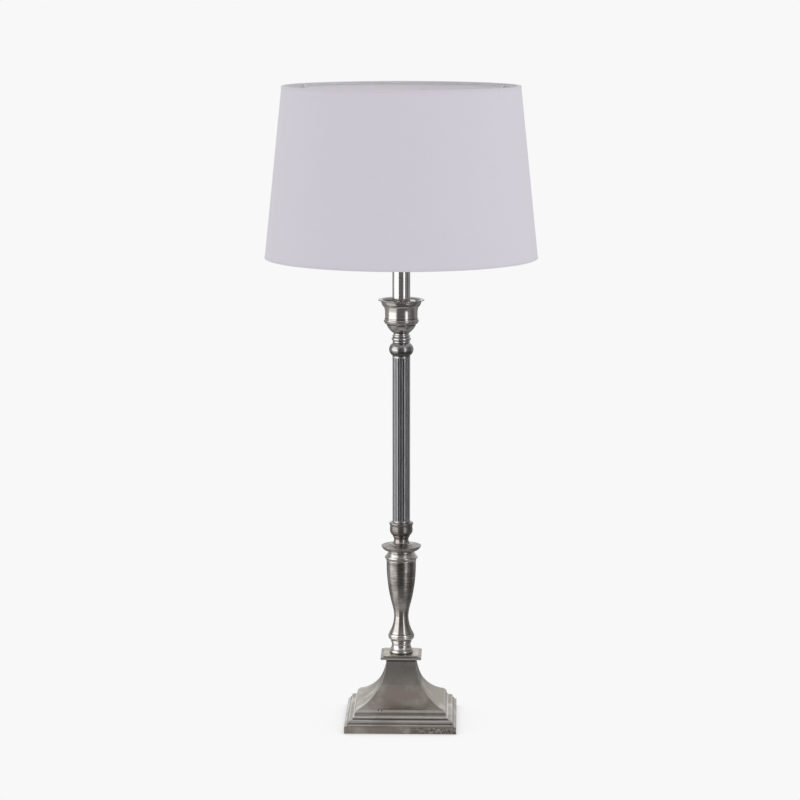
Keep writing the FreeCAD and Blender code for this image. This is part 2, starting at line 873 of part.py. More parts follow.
def baluster():
    """The vase: flared foot, slim waist, long belly, and a straight lip."""
    foot = s.baluster_foot_diameter / 2
    lip = s.baluster_diameter / 2
    stem_piece(
        "baluster",
        [
            (foot - s.edge_break, 0),
            (foot, s.edge_break),
            (foot, s.baluster_foot_height),
            (s.baluster_flare_diameter / 2, s.baluster_flare_height, -s.baluster_flare_sweep),
            (s.baluster_waist_diameter / 2, s.baluster_waist_height, -s.baluster_waist_sweep),
            (s.baluster_calf_diameter / 2, s.baluster_calf_height, -s.baluster_calf_sweep),
            (lip, s.baluster_height - s.baluster_lip, s.baluster_belly),
            (lip, s.baluster_height - s.edge_break),
            (lip - s.edge_break, s.baluster_height),
        ],
        baluster_seat,
    )


def shoulder_ring():
    """Shoulder on the baluster: a sharp bead, then a slope that closes to the neck."""
    foot = s.shoulder_foot_diameter / 2
    bead = s.shoulder_bead_diameter / 2
    crown = s.shoulder_crown_diameter / 2
    neck = s.shoulder_neck_diameter / 2
    swell = (s.shoulder_bead_top - s.shoulder_bead_foot) / 4
    stem_piece(
        "shoulder_ring",
        [
            (foot, 0),
            (foot, swell),
            (bead - swell, s.shoulder_bead_foot, -swell / 2),
            (bead - swell, s.shoulder_bead_top, swell),
            (crown, s.shoulder_bead_top),
            (neck, s.shoulder_slope_top, -swell / 4),
            (neck, s.shoulder_height),
        ],
        shoulder_seat,
    )


def drip_disc():
    """Thin-edged saucer over the baluster; its top rises to the socket."""
    neck = s.disc_neck_diameter / 2
    edge = s.disc_diameter / 2
    edge_top = s.disc_edge_foot + s.disc_edge_height
    hub = s.socket_foot_diameter / 2 + s.edge_break
    stem_piece(
        "drip_disc",
        [
            (neck, 0),
            (neck, s.disc_neck_height),
            (edge - s.edge_break, s.disc_edge_foot, s.disc_bowl, -s.disc_bowl),
            (edge - s.edge_break, edge_top, s.edge_break),
            (edge - s.disc_edge_height, edge_top),
            (hub, s.disc_height, 0, -s.disc_dish),
        ],
        disc_seat,
    )


def column_socket():
    """Turned socket that holds the foot of the column in a recess."""
    foot = s.socket_foot_diameter / 2
    neck = s.socket_neck_diameter / 2
    fillet = s.socket_fillet_diameter / 2
    fillet_top = s.socket_fillet_foot + s.socket_fillet_height
    bowl = s.socket_bowl_diameter / 2
    rim = s.socket_rim_diameter / 2
    recess = s.column_diameter / 2 + s.socket_play
    recess_floor = s.socket_height - s.socket_depth
    edge = s.edge_break
    flare = s.socket_neck_sweep
    swell = s.socket_bowl_sweep
    lip = s.socket_rim_sweep
    section = [
        (rod_hole_radius, 0),
        (foot, 0),
        (foot, s.socket_foot_height),
        (neck, s.socket_neck_height, -flare, -flare / 2),
        (fillet - edge, s.socket_fillet_foot),
        (fillet, s.socket_fillet_foot + edge),
        (fillet, fillet_top),
        (bowl, s.socket_bowl_top, swell, -swell),
        (bowl - edge / 2, s.socket_rim_foot),
        (rim - edge, s.socket_rim_height, -lip, -lip),
        (rim - edge, s.socket_height - edge * 2, edge),
        (recess + edge * 2, s.socket_height, lip / 3, lip / 3),
        (recess, s.socket_height),
        (recess, recess_floor),
        (rod_hole_radius, recess_floor),
    ]
    keep(turned("socket_body", section, socket_seat), "column_socket")


def fluted_column():
    """Fluted tube: each flute is cut with a round-nosed tool that stops short of both ends."""
    outer = s.column_diameter / 2
    bore = s.column_bore / 2
    body = turned(
        "column_body",
        [(bore, 0), (outer, 0), (outer, s.column_length), (bore, s.column_length)],
        column_seat,
    )
    tool_axis = outer - s.flute_depth + s.flute_radius
    low = s.socket_depth + s.flute_foot
    high = s.column_length - s.flute_head
    inner = tool_axis - s.flute_radius
    nose = s.flute_radius * QUARTER
    sketch = new_sketch(body, "flute_tool", "XZ_Plane")
    axis = sketch.addGeometry(Part.LineSegment(spot(tool_axis, low), spot(tool_axis, high)), True)
    pin_point(sketch, axis, 1, tool_axis, low)
    pin_point(sketch, axis, 2, tool_axis, high)
    draw(
        sketch,
        [
            (tool_axis, low),
            (inner, low + s.flute_radius, -nose, -nose),
            (inner, high - s.flute_radius),
            (tool_axis, high, -nose, nose),
        ],
    )
    flute = body.newObject("PartDesign::Groove", "flute")
    flute.Profile = (sketch, [""])
    flute.ReferenceAxis = (sketch, ["Axis0"])
    flute.Angle = 360.0
    doc.recompute()
    pattern = body.newObject("PartDesign::PolarPattern", "flutes")
    pattern.Originals = [flute]
    pattern.Axis = (origin_plane(body, "Z_Axis"), [""])
    pattern.Angle = 360.0
    pattern.Occurrences = int(s.flute_count.value)
    pattern.setExpression("Occurrences", s.flute_count.formula)
    body.Tip = pattern
    keep(body, "fluted_column")


def ball_knop():
    """Flattened ball on the column, located by a spigot in the column's bore."""
    foot = s.ball_foot_diameter / 2
    crown = s.ball_crown_diameter / 2
    swell = s.ball_diameter / 2 - (foot + crown) / 2
    spigot = s.column_bore / 2 - s.spigot_play
    stem_piece(
        "ball_knop",
        [
            (spigot, -s.spigot_length),
            (spigot, 0),
            (foot, 0),
            (foot, s.ball_height / 30),
            (crown, s.ball_height, swell),
        ],
        ball_seat,
    )


def ring_knop():
    """Three beads, one above the other, and a neck for the cup."""
    beads = [
        (s.knop_lower_diameter, s.knop_lower_height),
        (s.knop_middle_diameter, s.knop_middle_height),
        (s.knop_upper_diameter, s.knop_upper_height),
    ]
    groove = s.knop_groove_diameter / 2
    neck = s.knop_neck_diameter / 2
    points = []
    level = sized(0)
    for diameter, thickness in beads:
        side = diameter / 2 - thickness / 4
        points += [(side, level), (side, level + thickness, thickness / 4)]
        level = level + thickness
        points += [(groove, level), (groove, level + s.knop_groove_height)]
        level = level + s.knop_groove_height
    points += [(neck, level), (neck, s.knop_height)]
    stem_piece("ring_knop", points, knop_seat)


def candle_cup():
    """Cup with a belt, a waist and a wide thin rim; hollow, with a flat floor for the candle tube."""
    foot = s.cup_foot_diameter / 2
    bowl = s.cup_bowl_diameter / 2
    line = s.cup_line_depth
    shoulder = s.cup_shoulder_diameter / 2
    belt = s.cup_belt_diameter / 2
    belt_top = s.cup_belt_foot + s.cup_belt_height
    waist = s.cup_waist_diameter / 2
    throat = s.cup_throat_diameter / 2
    mouth = s.cup_mouth_diameter / 2
    rim = s.cup_rim_diameter / 2
    rim_foot = s.cup_height - s.cup_rim_thickness
    wall = s.cup_wall
    outside = [
        (rod_hole_radius, 0),
        (foot, 0),
        (foot, s.cup_foot_height),
        (bowl, s.cup_bowl_height, s.cup_bowl_sweep, -s.cup_bowl_sweep / 4),
        (bowl - line, s.cup_bowl_height + line),
        (bowl + line / 2, s.cup_bowl_height + line * 2),
        (shoulder, s.cup_belt_foot, line, -line / 2),
        (belt - line, s.cup_belt_foot),
        (belt - line, belt_top, line),
        (shoulder - line, belt_top),
        (shoulder - line, belt_top + line * 2),
        (waist, s.cup_waist_height, -line / 2),
        (throat - line, s.cup_throat_height, -line),
        (throat, s.cup_throat_height),
        (mouth, s.cup_mouth_height, line),
        (rim - s.cup_rim_thickness / 3, rim_foot, -line, line),
        (rim - s.cup_rim_thickness / 3, s.cup_height, s.cup_rim_thickness / 3),
    ]
    inside = [
        (mouth - wall / 4, s.cup_height - s.cup_rim_dish),
        (mouth - wall, s.cup_mouth_height),
        (throat - wall, s.cup_throat_height, line),
        (waist - wall, s.cup_waist_height, -line),
        (shoulder - wall - line, s.cup_belt_foot, -line),
        (s.cup_floor_diameter / 2, s.cup_floor, line, -line),
        (rod_hole_radius, s.cup_floor),
    ]
    keep(turned("cup_body", outside + inside, cup_seat), "candle_cup")


def candle_tube():
    """Bright tube that stands in the cup, and the turned cap that closes its top."""
    outer = s.tube_diameter / 2
    bore = tube_bore / 2
    section = [(bore, 0), (outer, 0), (outer, s.tube_length), (bore, s.tube_length)]
    keep(turned("tube_body", section, tube_seat), "candle_tube")
    spigot = bore - s.spigot_play
    cap = s.tube_cap_diameter / 2
    edge = s.tube_cap_thickness / 4
    stem_piece(
        "tube_cap",
        [
            (spigot, -s.tube_cap_spigot),
            (spigot, 0),
            (cap, 0),
            (cap, s.tube_cap_thickness - edge),
            (cap - edge, s.tube_cap_thickness),
        ],
        tube_cap_seat,
    )


# The lampholder --------------------------------------------------------------------------------------------


def holder_cap():
    """Domed bottom of the lampholder, threaded on the rod and locked by a grub screw in its neck."""
    thread = thread_hole / 2
    neck = s.holder_neck_diameter / 2
    outer = s.skirt_diameter / 2
    seat = s.holder_seat_diameter / 2
    wall = s.holder_cap_wall
    body = turned(
        "holder_cap_body",
        [
            (thread, 0),
            (neck, 0),
            (neck, s.holder_neck_height),
            (outer, s.holder_dome_height, wall, -wall),
            (outer, s.holder_cap_height),
            (seat, s.holder_cap_height),
            (seat, s.holder_dome_height),
            (neck, s.holder_neck_height + wall * 1.5, wall / 2, -wall / 2),
            (neck - wall / 2, s.holder_thread_length),
            (thread, s.holder_thread_length),
        ],
        holder_seat,
    )
    clear = s.grub_diameter + s.screw_play * 2
    hole = circle(new_sketch(body, "grub_hole", "YZ_Plane"), clear, up=s.grub_height)
    drilling = body.newObject("PartDesign::Pocket", "grub_drilling")
    drilling.Profile = (hole, [""])
    drilling.Reversed = True
    bind(drilling, Length=neck + s.overrun)
    keep(body, "holder_cap")
    reach = neck - s.rod_diameter / 2 - s.thread_play * 2 - s.screw_play
    grub = rod_cylinder(
        "grub_screw",
        s.grub_diameter,
        reach,
        holder_seat + s.grub_height,
        across=s.rod_diameter / 2 + s.thread_play,
    )
    grub.Placement.Rotation = FreeCAD.Rotation(FreeCAD.Vector(0, 1, 0), 90)
    keep(grub, "holder_grub_screw")


def holder_skirt():
    """Threaded skirt of the lampholder; the shade's two rings run on the outside of it."""
    outer = s.skirt_diameter / 2
    inner = outer - s.skirt_wall
    mouth = s.skirt_mouth_diameter / 2
    lip = s.skirt_height - s.skirt_lip
    edge = s.skirt_lip / 3
    section = [
        (inner, 0),
        (outer, 0),
        (outer, s.skirt_height - edge),
        (outer - edge, s.skirt_height),
        (mouth + edge, s.skirt_height),
        (mouth, s.skirt_height - edge),
        (mouth, lip),
        (inner, lip),
    ]
    keep(turned("skirt_body", section, skirt_seat), "holder_skirt")


def insulator():
    """Moulded block with a well for the centre contact, and two holes below for the terminal screws."""
    outer = s.skirt_diameter / 2 - s.skirt_wall - s.insulator_play
    well = s.insulator_well_diameter / 2
    top = s.insulator_height
    floor = top - s.insulator_well_depth
    body = turned(
        "insulator_body",
        [(0, 0), (outer, 0), (outer, top), (well, top), (well, floor), (0, floor)],
        skirt_seat,
    )
    holes = new_sketch(body, "terminal_holes", "XY_Plane")
    for side in (-0.5, 0.5):
        circle(holes, s.terminal_diameter + s.screw_play * 2, s.terminal_spacing * side)
    drilling = body.newObject("PartDesign::Pocket", "terminal_drilling")
    drilling.Profile = (holes, [""])
    drilling.Reversed = True
    bind(drilling, Length=s.terminal_depth)
    keep(body, "insulator")


def terminal_screws():
    """Two terminal screws, up into the insulator from the wiring room."""
    pieces = []
    for number, side in enumerate((-0.5, 0.5), start=1):
        across = s.terminal_spacing * side
        head_seat = skirt_seat - s.terminal_head_height
        shank = s.terminal_head_height + s.terminal_depth - s.head_play
        head = (s.terminal_head_diameter, s.terminal_head_height)
        pieces.append(rod_cylinder(f"terminal_head_{number}", *head, head_seat, across))
        pieces.append(rod_cylinder(f"terminal_shank_{number}", s.terminal_diameter, shank, head_seat, across))
    keep(joined("terminal_group", pieces), "terminal_screws")


def screw_shell():
    """Brass shell that the bulb screws into."""
    bore = s.shell_bore / 2
    outer = bore + s.shell_wall
    flange = s.shell_flange_diameter / 2
    section = [
        (bore, 0),
        (flange, 0),
        (flange, s.shell_wall),
        (outer, s.shell_wall),
        (outer, s.shell_length),
        (bore, s.shell_length),
    ]
    keep(turned("shell_body", section, skirt_seat + s.insulator_height), "screw_shell")


def contacts():
    """Sprung centre contact in the insulator's well, and the side contact on the shell's flange."""
    half = s.contact_length / 2
    heel = s.contact_length / 6
    thick = s.contact_thickness
    rise = s.contact_rise
    tip = s.contact_length / 5
    leaf = new_body("centre_contact_body")
    outline = [
        (-half, 0),
        (-heel, 0),
        (-heel / 2, rise),
        (tip, rise),
        (tip, rise + thick),
        (-heel / 2 - thick, rise + thick),
        (-heel - thick, thick),
        (-half, thick),
    ]
    profile = draw(new_sketch(leaf, "centre_contact_profile", "XZ_Plane"), outline)
    pad(leaf, profile, s.contact_width).Midplane = True
    place(leaf, skirt_seat + s.insulator_height - s.insulator_well_depth)
    keep(leaf, "centre_contact")
    upright = s.shell_bore / 2 + s.shell_wall + s.side_contact_gap
    strip = new_body("side_contact_body")
    outline = [
        (upright, 0),
        (upright + s.side_contact_foot, 0),
        (upright + s.side_contact_foot, thick),
        (upright + thick, thick),
        (upright + thick, s.side_contact_height),
        (upright, s.side_contact_height),
    ]
    profile = draw(new_sketch(strip, "side_contact_profile", "XZ_Plane"), outline)
    pad(strip, profile, s.side_contact_width).Midplane = True
    place(strip, skirt_seat + s.insulator_height + s.shell_wall)
    keep(strip, "side_contact")


def shade_rings():
    """The two rings on the lampholder's thread that hold the shade between them, flange to flange."""
    bore = s.skirt_diameter / 2 + s.ring_play
    collar = s.ring_collar_diameter / 2
    outer = s.ring_diameter / 2
    edge = s.ring_flange / 5
    lower = [
        (bore, 0),
        (collar - edge, 0),
        (collar, edge),
        (collar, s.ring_height - s.ring_flange),
        (outer, s.ring_height - s.ring_flange + edge),
        (outer, s.ring_height - edge),
        (outer - edge, s.ring_height),
        (bore, s.ring_height),
    ]
    upper = [(across, s.ring_height - up) for across, up in reversed(lower)]
    keep(turned("lower_ring_body", lower, lower_ring_seat), "lower_shade_ring")
    keep(turned("upper_ring_body", upper, upper_ring_seat), "upper_shade_ring")


# The shade -------------------------------------------------------------------------------------------------


def cover_face(level):
    """Radius of the cover's outer face at a height above the shade's lower edge."""
    slope = (s.shade_lower_diameter - s.shade_upper_diameter) / (s.shade_height * 2)
    return s.shade_lower_diameter / 2 - s.trim_thickness - slope * level


def wire_radius(level):
    """Radius of a wire ring's centre line, just inside the cover at that height."""
    return cover_face(level) - s.cover_thickness - s.frame_wire / 2 - s.frame_play


wire_inset = s.trim_thickness + s.frame_wire / 2 + s.frame_play


def draw_arm(sketch, foot, level, ring_radius, ring_level):
    """Path of one arm: level from the fitter, round a bend, and straight up to the top ring."""
    start = spot(foot, level)
    end = spot(ring_radius, ring_level)
    centre = spot(s.arm_reach, level + s.arm_bend)
    reach = (end - centre).Length
    lean = math.atan2(end.y - centre.y, end.x - centre.x) - math.acos(s.arm_bend.value / reach)
    leave = centre + FreeCAD.Vector(math.cos(lean), math.sin(lean), 0) * s.arm_bend.value
    touch = spot(s.arm_reach, level)
    run = sketch.addGeometry(Part.LineSegment(start, touch))
    circle_of_bend = Part.Circle(centre, FreeCAD.Vector(0, 0, 1), s.arm_bend.value)
    bend = sketch.addGeometry(Part.ArcOfCircle(circle_of_bend, -math.pi / 2, lean))
    rise = sketch.addGeometry(Part.LineSegment(leave, end))
    pin_point(sketch, run, 1, foot, level)
    pin_point(sketch, rise, 2, ring_radius, ring_level)
    sketch.addConstraint(Sketcher.Constraint("Horizontal", run))
    sketch.addConstraint(Sketcher.Constraint("Tangent", run, 2, bend, 1))
    sketch.addConstraint(Sketcher.Constraint("Tangent", bend, 2, rise, 1))
    for kind, size in (("Radius", s.arm_bend), ("DistanceX", s.arm_reach)):
        ends = (bend, 3) if kind == "DistanceX" else (bend,)
        index = sketch.addConstraint(Sketcher.Constraint(kind, *ends, float(size.value)))
        sketch.setExpression(f"Constraints[{index}]", size.formula)
    return sketch


def top_frame():
    """Welded wire frame of the shade: fitter ring, three arms, and the top ring."""
    body = new_body("frame_body")
    bore = s.fitter_bore / 2
    outer = s.fitter_diameter / 2
    plate = [(bore, 0), (outer, 0), (outer, s.fitter_thickness), (bore, s.fitter_thickness)]
    revolve(body, draw(new_sketch(body, "fitter_section", "XZ_Plane"), plate), "fitter_ring")
    foot = outer - s.arm_weld
    level = s.fitter_thickness / 2
    ring_level = s.fitter_drop + s.fitter_thickness - wire_inset
    ring_radius = wire_radius(s.shade_height - wire_inset)
    path = draw_arm(new_sketch(body, "arm_path", "XZ_Plane"), foot, level, ring_radius, ring_level)
    section = circle(new_sketch(body, "arm_section", "YZ_Plane", offset=foot), s.frame_wire, up=level)
    doc.recompute()
    arm = body.newObject("PartDesign::AdditivePipe", "arm")
    arm.Profile = (section, [""])
    arm.Spine = (path, ["Edge1", "Edge2", "Edge3"])
    doc.recompute()
    pattern = body.newObject("PartDesign::PolarPattern", "arms")
    pattern.Originals = [arm]
    pattern.Axis = (origin_plane(body, "Z_Axis"), [""])
    pattern.Angle = 360.0
    bind(pattern, Occurrences=s.arm_count)
    body.Tip = pattern
    wire = circle(new_sketch(body, "top_ring_section", "XZ_Plane"), s.frame_wire, ring_radius, ring_level)
    revolve(body, wire, "top_ring")
    body.Placement.Rotation = FreeCAD.Rotation(FreeCAD.Vector(0, 0, 1), s.arm_azimuth.value)
    body.setExpression("Placement.Rotation.Angle", s.arm_azimuth.formula)
    place(body, fitter_seat)
    keep(body, "top_frame")


def bottom_ring():
    """Wire ring in the lower edge of the shade."""
    ring = doc.addObject("Part::Torus", "bottom_wire")
    bind(ring, Radius1=wire_radius(wire_inset), Radius2=s.frame_wire / 2)
    place(ring, shade_foot + wire_inset)
    keep(ring, "bottom_ring")


def shade_cover():
    """The drum itself: fabric laminated to a stiff lining, straight from ring to ring."""
    low = s.trim_thickness
    high = s.shade_height - s.trim_thickness
    thick = s.cover_thickness
    section = [
        (cover_face(low) - thick, low),
        (cover_face(low), low),
        (cover_face(high), high),
        (cover_face(high) - thick, high),
    ]
    keep(turned("cover_body", section, shade_foot), "shade_cover")


def edge_trim(label, edge, inward):
    """Fabric tape turned over an edge of the shade: outer leg, edge, and a leg behind the wire."""
    tape = s.trim_thickness
    outer_end = edge + s.trim_width * inward
    inner_end = edge + (wire_inset - s.frame_wire / 4) * inward
    under = edge + tape * inward
    behind = wire_radius(edge) - s.frame_wire / 2 - s.frame_play * 3
    section = [
        (cover_face(edge) + tape, edge),
        (cover_face(outer_end) + tape, outer_end),
        (cover_face(outer_end), outer_end),
        (cover_face(under), under),
        (behind, under),
        (behind, inner_end),
        (behind - tape, inner_end),
        (behind - tape, edge),
    ]
    keep(turned(label + "_body", section, shade_foot), label)


# Build, check and write ------------------------------------------------------------------------------------

felt_pad()
bottom_plate()
plate_screws()
ballast_weight()
base_casting()
cord_bush()
rod_and_fixings()
cap_plate()
foot_spool()
base_ring()
baluster()
shoulder_ring()
drip_disc()
column_socket()
fluted_column()
ball_knop()
ring_knop()
candle_cup()
candle_tube()
holder_cap()
holder_skirt()
insulator()
terminal_screws()
screw_shell()
contacts()
shade_rings()
top_frame()
bottom_ring()
shade_cover()
edge_trim("bottom_trim", sized(0), 1)
edge_trim("top_trim", s.shade_height, -1)
doc.recompute()

for thing in doc.Objects:
    if "Invalid" in thing.State or "Error" in thing.State:
        raise RuntimeError(f"{thing.Name} failed: {thing.State}")
for piece in subparts:
    if piece.Shape.isNull() or not piece.Shape.isValid() or not piece.Shape.Solids:
        raise RuntimeError(f"{piece.Label} has no sound shape")

os.makedirs("parts", exist_ok=True)
for piece in subparts:
    piece.Shape.exportStep(f"parts/{piece.Label}.step")
    box = piece.Shape.BoundBox
    solids = len(piece.Shape.Solids)
    volume = piece.Shape.Volume / 1000
    print(f"{piece.Label:20s} {solids} solid, {volume:8.2f} cm3, z {box.ZMin:.2f} to {box.ZMax:.2f}")
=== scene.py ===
import math
from typing import NamedTuple

import bmesh
import bpy
from mathutils import Matrix, Vector


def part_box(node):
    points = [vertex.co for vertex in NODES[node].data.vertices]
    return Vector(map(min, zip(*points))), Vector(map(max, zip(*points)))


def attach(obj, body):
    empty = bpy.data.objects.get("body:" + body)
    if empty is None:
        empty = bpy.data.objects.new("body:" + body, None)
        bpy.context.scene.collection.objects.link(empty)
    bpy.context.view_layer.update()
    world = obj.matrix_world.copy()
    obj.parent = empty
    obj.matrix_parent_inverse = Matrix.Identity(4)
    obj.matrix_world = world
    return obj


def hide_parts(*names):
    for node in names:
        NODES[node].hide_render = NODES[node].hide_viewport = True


# Candlestick table lamp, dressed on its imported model. Metres, in the row frame: +Z up, front towards -Y.

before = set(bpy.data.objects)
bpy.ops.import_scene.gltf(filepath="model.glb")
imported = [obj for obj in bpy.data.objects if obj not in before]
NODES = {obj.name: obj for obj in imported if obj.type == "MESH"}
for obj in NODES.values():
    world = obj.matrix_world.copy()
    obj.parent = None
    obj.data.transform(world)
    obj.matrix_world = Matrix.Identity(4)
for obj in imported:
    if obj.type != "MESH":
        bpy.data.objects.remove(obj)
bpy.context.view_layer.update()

MM = 0.001

# Camera: a long lens on a tripod a little above the lamp's middle, seen from just right of the front.
PICTURE = 800
FOCAL_PIXELS = 2697
CAMERA_DISTANCE = 3.439
CAMERA_HEIGHT = 0.964
CAMERA_PITCH = 8.91
CAMERA_AZIMUTH = 1.3
AXIS_OFFSET_PIXELS = 1.3

# The shade's own sizes.
cover_low, cover_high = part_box("shade_cover")
SHADE_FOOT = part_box("bottom_trim")[0].z
SHADE_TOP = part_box("top_trim")[1].z
LOWER_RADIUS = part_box("bottom_trim")[1].x
UPPER_RADIUS = 0.3046 / 2
SEAM_WIDTH = 8 * MM
SEAM_RISE = 0.3 * MM
SEAM_SLOPE = 0.4 * MM
SHADE_TURNS = 720
COVER_THICKNESS = 0.9 * MM
TAPE = 0.35 * MM

# The stand's own sizes that its finish follows.
PLINTH_HEIGHT = 9.4 * MM
FOOT_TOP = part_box("base_casting")[1].z
COLUMN_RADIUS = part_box("fluted_column")[1].x
FLUTE_DEPTH = 1.0 * MM
HOLLOW_REACH = 2.0 * MM
FOLD_ANGLE = math.radians(35)
ROD_PITCH = 1.0 * MM


# Node tools ----------------------------------------------------------------------------------------


class Graph:
    """A short way to write a node tree: each call adds one node and returns the socket it gives."""

    def __init__(self, tree):
        self.tree = tree
        tree.nodes.clear()

    def node(self, kind, output=0, values=None, **settings):
        made = self.tree.nodes.new(kind)
        for name, value in settings.items():
            setattr(made, name, value)
        for socket, value in (values or {}).items():
            self.feed(made.inputs[socket], value)
        return made.outputs[output] if output is not None else made

    def feed(self, socket, value):
        if isinstance(value, bpy.types.NodeSocket):
            self.tree.links.new(value, socket)
        else:
            socket.default_value = value

    def math(self, operation, first, second=0.0, third=0.0):
        return self.node("ShaderNodeMath", values={0: first, 1: second, 2: third}, operation=operation)

    def vector(self, operation, first, second=(0, 0, 0)):
        return self.node("ShaderNodeVectorMath", values={0: first, 1: second}, operation=operation)

    def noise(self, where, scale, detail=3.0, roughness=0.5):
        values = {"Vector": where, "Scale": scale, "Detail": detail, "Roughness": roughness}
        return self.node("ShaderNodeTexNoise", 0, values)

    def ramp(self, value, low, high, start=0.0, end=1.0):
        """Smooth step of a value between two limits."""
        values = {"Value": value, "From Min": low, "From Max": high, "To Min": start, "To Max": end}
        return self.node("ShaderNodeMapRange", 0, values, interpolation_type="SMOOTHSTEP")

    def mix(self, share, first, second):
        made = self.node("ShaderNodeMix", None, data_type="RGBA")
        self.feed(made.inputs[0], share)
        self.feed(made.inputs[6], first)
        self.feed(made.inputs[7], second)
        return made.outputs[2]

    def parts(self, where):
        made = self.node("ShaderNodeSeparateXYZ", None, {0: where})
        return made.outputs[0], made.outputs[1], made.outputs[2]

    def join(self, x, y, z):
        return self.node("ShaderNodeCombineXYZ", 0, {0: x, 1: y, 2: z})

    def measure(self, operation, first, second=(0, 0, 0)):
        """A number found from vectors, such as a length or a dot product."""
        values = {0: first, 1: second}
        return self.node("ShaderNodeVectorMath", "Value", values, operation=operation)

    def bump(self, height, distance, strength, more=None):
        values = {"Height": height, "Distance": distance, "Strength": strength, **(more or {})}
        return self.node("ShaderNodeBump", 0, values)


def colour(red, green, blue):
    return (red, green, blue, 1.0)


def grey(level):
    return colour(level, level, level)


def tinted(tone, share):
    """A tone with each of its parts multiplied by a share."""
    return colour(*(part * share for part in tone[:3]))


def new_material(name):
    made = bpy.data.materials.new(name)
    made.use_nodes = True
    return made, Graph(made.node_tree)


def finish_material(graph, shader):
    output = graph.node("ShaderNodeOutputMaterial", None)
    graph.tree.links.new(shader.outputs[0], output.inputs["Surface"])


def finish_surface(graph, shade, roughness, normal, more):
    """The surface's shader, with its colour, roughness and normal and what else it is given."""
    values = {"Base Color": shade, "Roughness": roughness, "Normal": normal, **more}
    finish_material(graph, graph.node("ShaderNodeBsdfPrincipled", None, values))


def place_on_object(graph):
    """Where the point is, in metres in the row frame."""
    return graph.node("ShaderNodeTexCoord", "Object")


# Metals -------------------------------------------------------------------------------------------

# Noise scales are per metre. The rings are noise drawn out this much round the piece.
RING_GRAIN = 900.0
RING_STRETCH = 0.06
SPECK_GRAIN = 480.0
PIT_GRAIN = 380.0
# The share of the dark tone used for grime and for painted shade.
GRIME_AND_SHADE = 0.3


def worn_grain(g, where, lines, cloud):
    """Clouds, brushed rings and specks, and the three in one: lines is the rings' share of it."""
    x, y, z = g.parts(where)
    drawn_out = g.join(g.math("MULTIPLY", x, RING_STRETCH), g.math("MULTIPLY", y, RING_STRETCH), z)
    clouds = g.noise(where, cloud, 4.0, 0.55)
    rings = g.noise(drawn_out, RING_GRAIN, 3.0, 0.6)
    specks = g.noise(where, SPECK_GRAIN, 4.0, 0.65)
    blend = g.math("ADD", g.math("MULTIPLY", clouds, 1.0 - lines), g.math("MULTIPLY", rings, lines))
    blend = g.math("ADD", blend, g.math("MULTIPLY", g.math("SUBTRACT", specks, 0.5), 0.15))
    return clouds, rings, specks, blend


def shade_and_wear_form(g, shade, grime_and_shade, edge, hollow_shade_share):
    """Painted shade and patina in the hollows, where ambient occlusion finds them, and edges rubbed bright
    with a painted highlight. Also gives the softened normal.
    """
    hollow_shade_and_patina = g.node("ShaderNodeAmbientOcclusion", "AO", {"Distance": HOLLOW_REACH}, samples=8)
    # Painted shade and patina: darker where ambient occlusion finds a hollow.
    shade = g.mix(g.ramp(hollow_shade_and_patina, 0.25, 0.8, hollow_shade_share, 0.0), shade, grime_and_shade)
    soft = g.node("ShaderNodeBevel", 0, {"Radius": edge * MM}, samples=4)
    flat = g.node("ShaderNodeNewGeometry", "True Normal")
    turned = g.measure("DOT_PRODUCT", soft, flat)
    # Edges rubbed bright, with a painted highlight, where the bevel turns the normal.
    arris_wear_and_highlight = g.math("MULTIPLY", g.ramp(turned, 0.9, 0.995, 1.0, 0.0), g.ramp(hollow_shade_and_patina, 0.6, 0.95, 0.0, 0.8))
    return g.mix(arris_wear_and_highlight, shade, HIGHLIGHT_AND_BARE_SILVER), soft


def painted_light_bands(g, shade, z, clouds, bands, grime_and_shade):
    """Level bands, each a height, a half width and a share: a painted highlight above nought, painted
    shade below.
    """
    for height, half, share in bands:
        off = g.math("ABSOLUTE", g.math("SUBTRACT", z, height))
        patchy = g.ramp(clouds, 0.3, 0.5, 0.6, 1.0)
        band = g.math("MULTIPLY", g.ramp(off, half * 0.4, half, abs(share), 0.0), patchy)
        shade = g.mix(band, shade, HIGHLIGHT_AND_BARE_SILVER if share > 0 else grime_and_shade)
    return shade


def worn_plinth(g, shade, where, grime_and_shade):
    """The plinth is dull with bright specks towards its right end, and the front has two small pits.
    Also gives the height of the pitting."""
    x, y, z = g.parts(where)
    pitted = g.noise(where, PIT_GRAIN, 4.0, 0.75)
    low = g.ramp(z, PLINTH_HEIGHT, PLINTH_HEIGHT * 0.85)
    share = g.math("MULTIPLY", low, g.ramp(x, PLINTH_WEAR_START, PLINTH_WEAR_END))
    dull = g.math("MULTIPLY", share, g.ramp(pitted, 0.36, 0.5, 1.0, 0.35))
    bright = g.math("MULTIPLY", share, g.ramp(pitted, 0.52, 0.62, 0.0, 0.55))
    shade = g.mix(dull, shade, grime_and_shade)
    shade = g.mix(bright, shade, HIGHLIGHT_AND_BARE_SILVER)
    front = g.math("LESS_THAN", y, 0.0)
    for pit_x, pit_z in FOOT_PITS:
        aside = g.vector("SUBTRACT", g.join(x, 0.0, z), (pit_x, 0.0, pit_z))
        off = g.measure("LENGTH", aside)
        pit = g.ramp(off, PIT_CORE, PIT_RADIUS, 0.9, 0.0)
        shade = g.mix(g.math("MULTIPLY", pit, front), shade, grime_and_shade)
    return shade, g.math("MULTIPLY", g.math("MULTIPLY", pitted, low), 2.0)


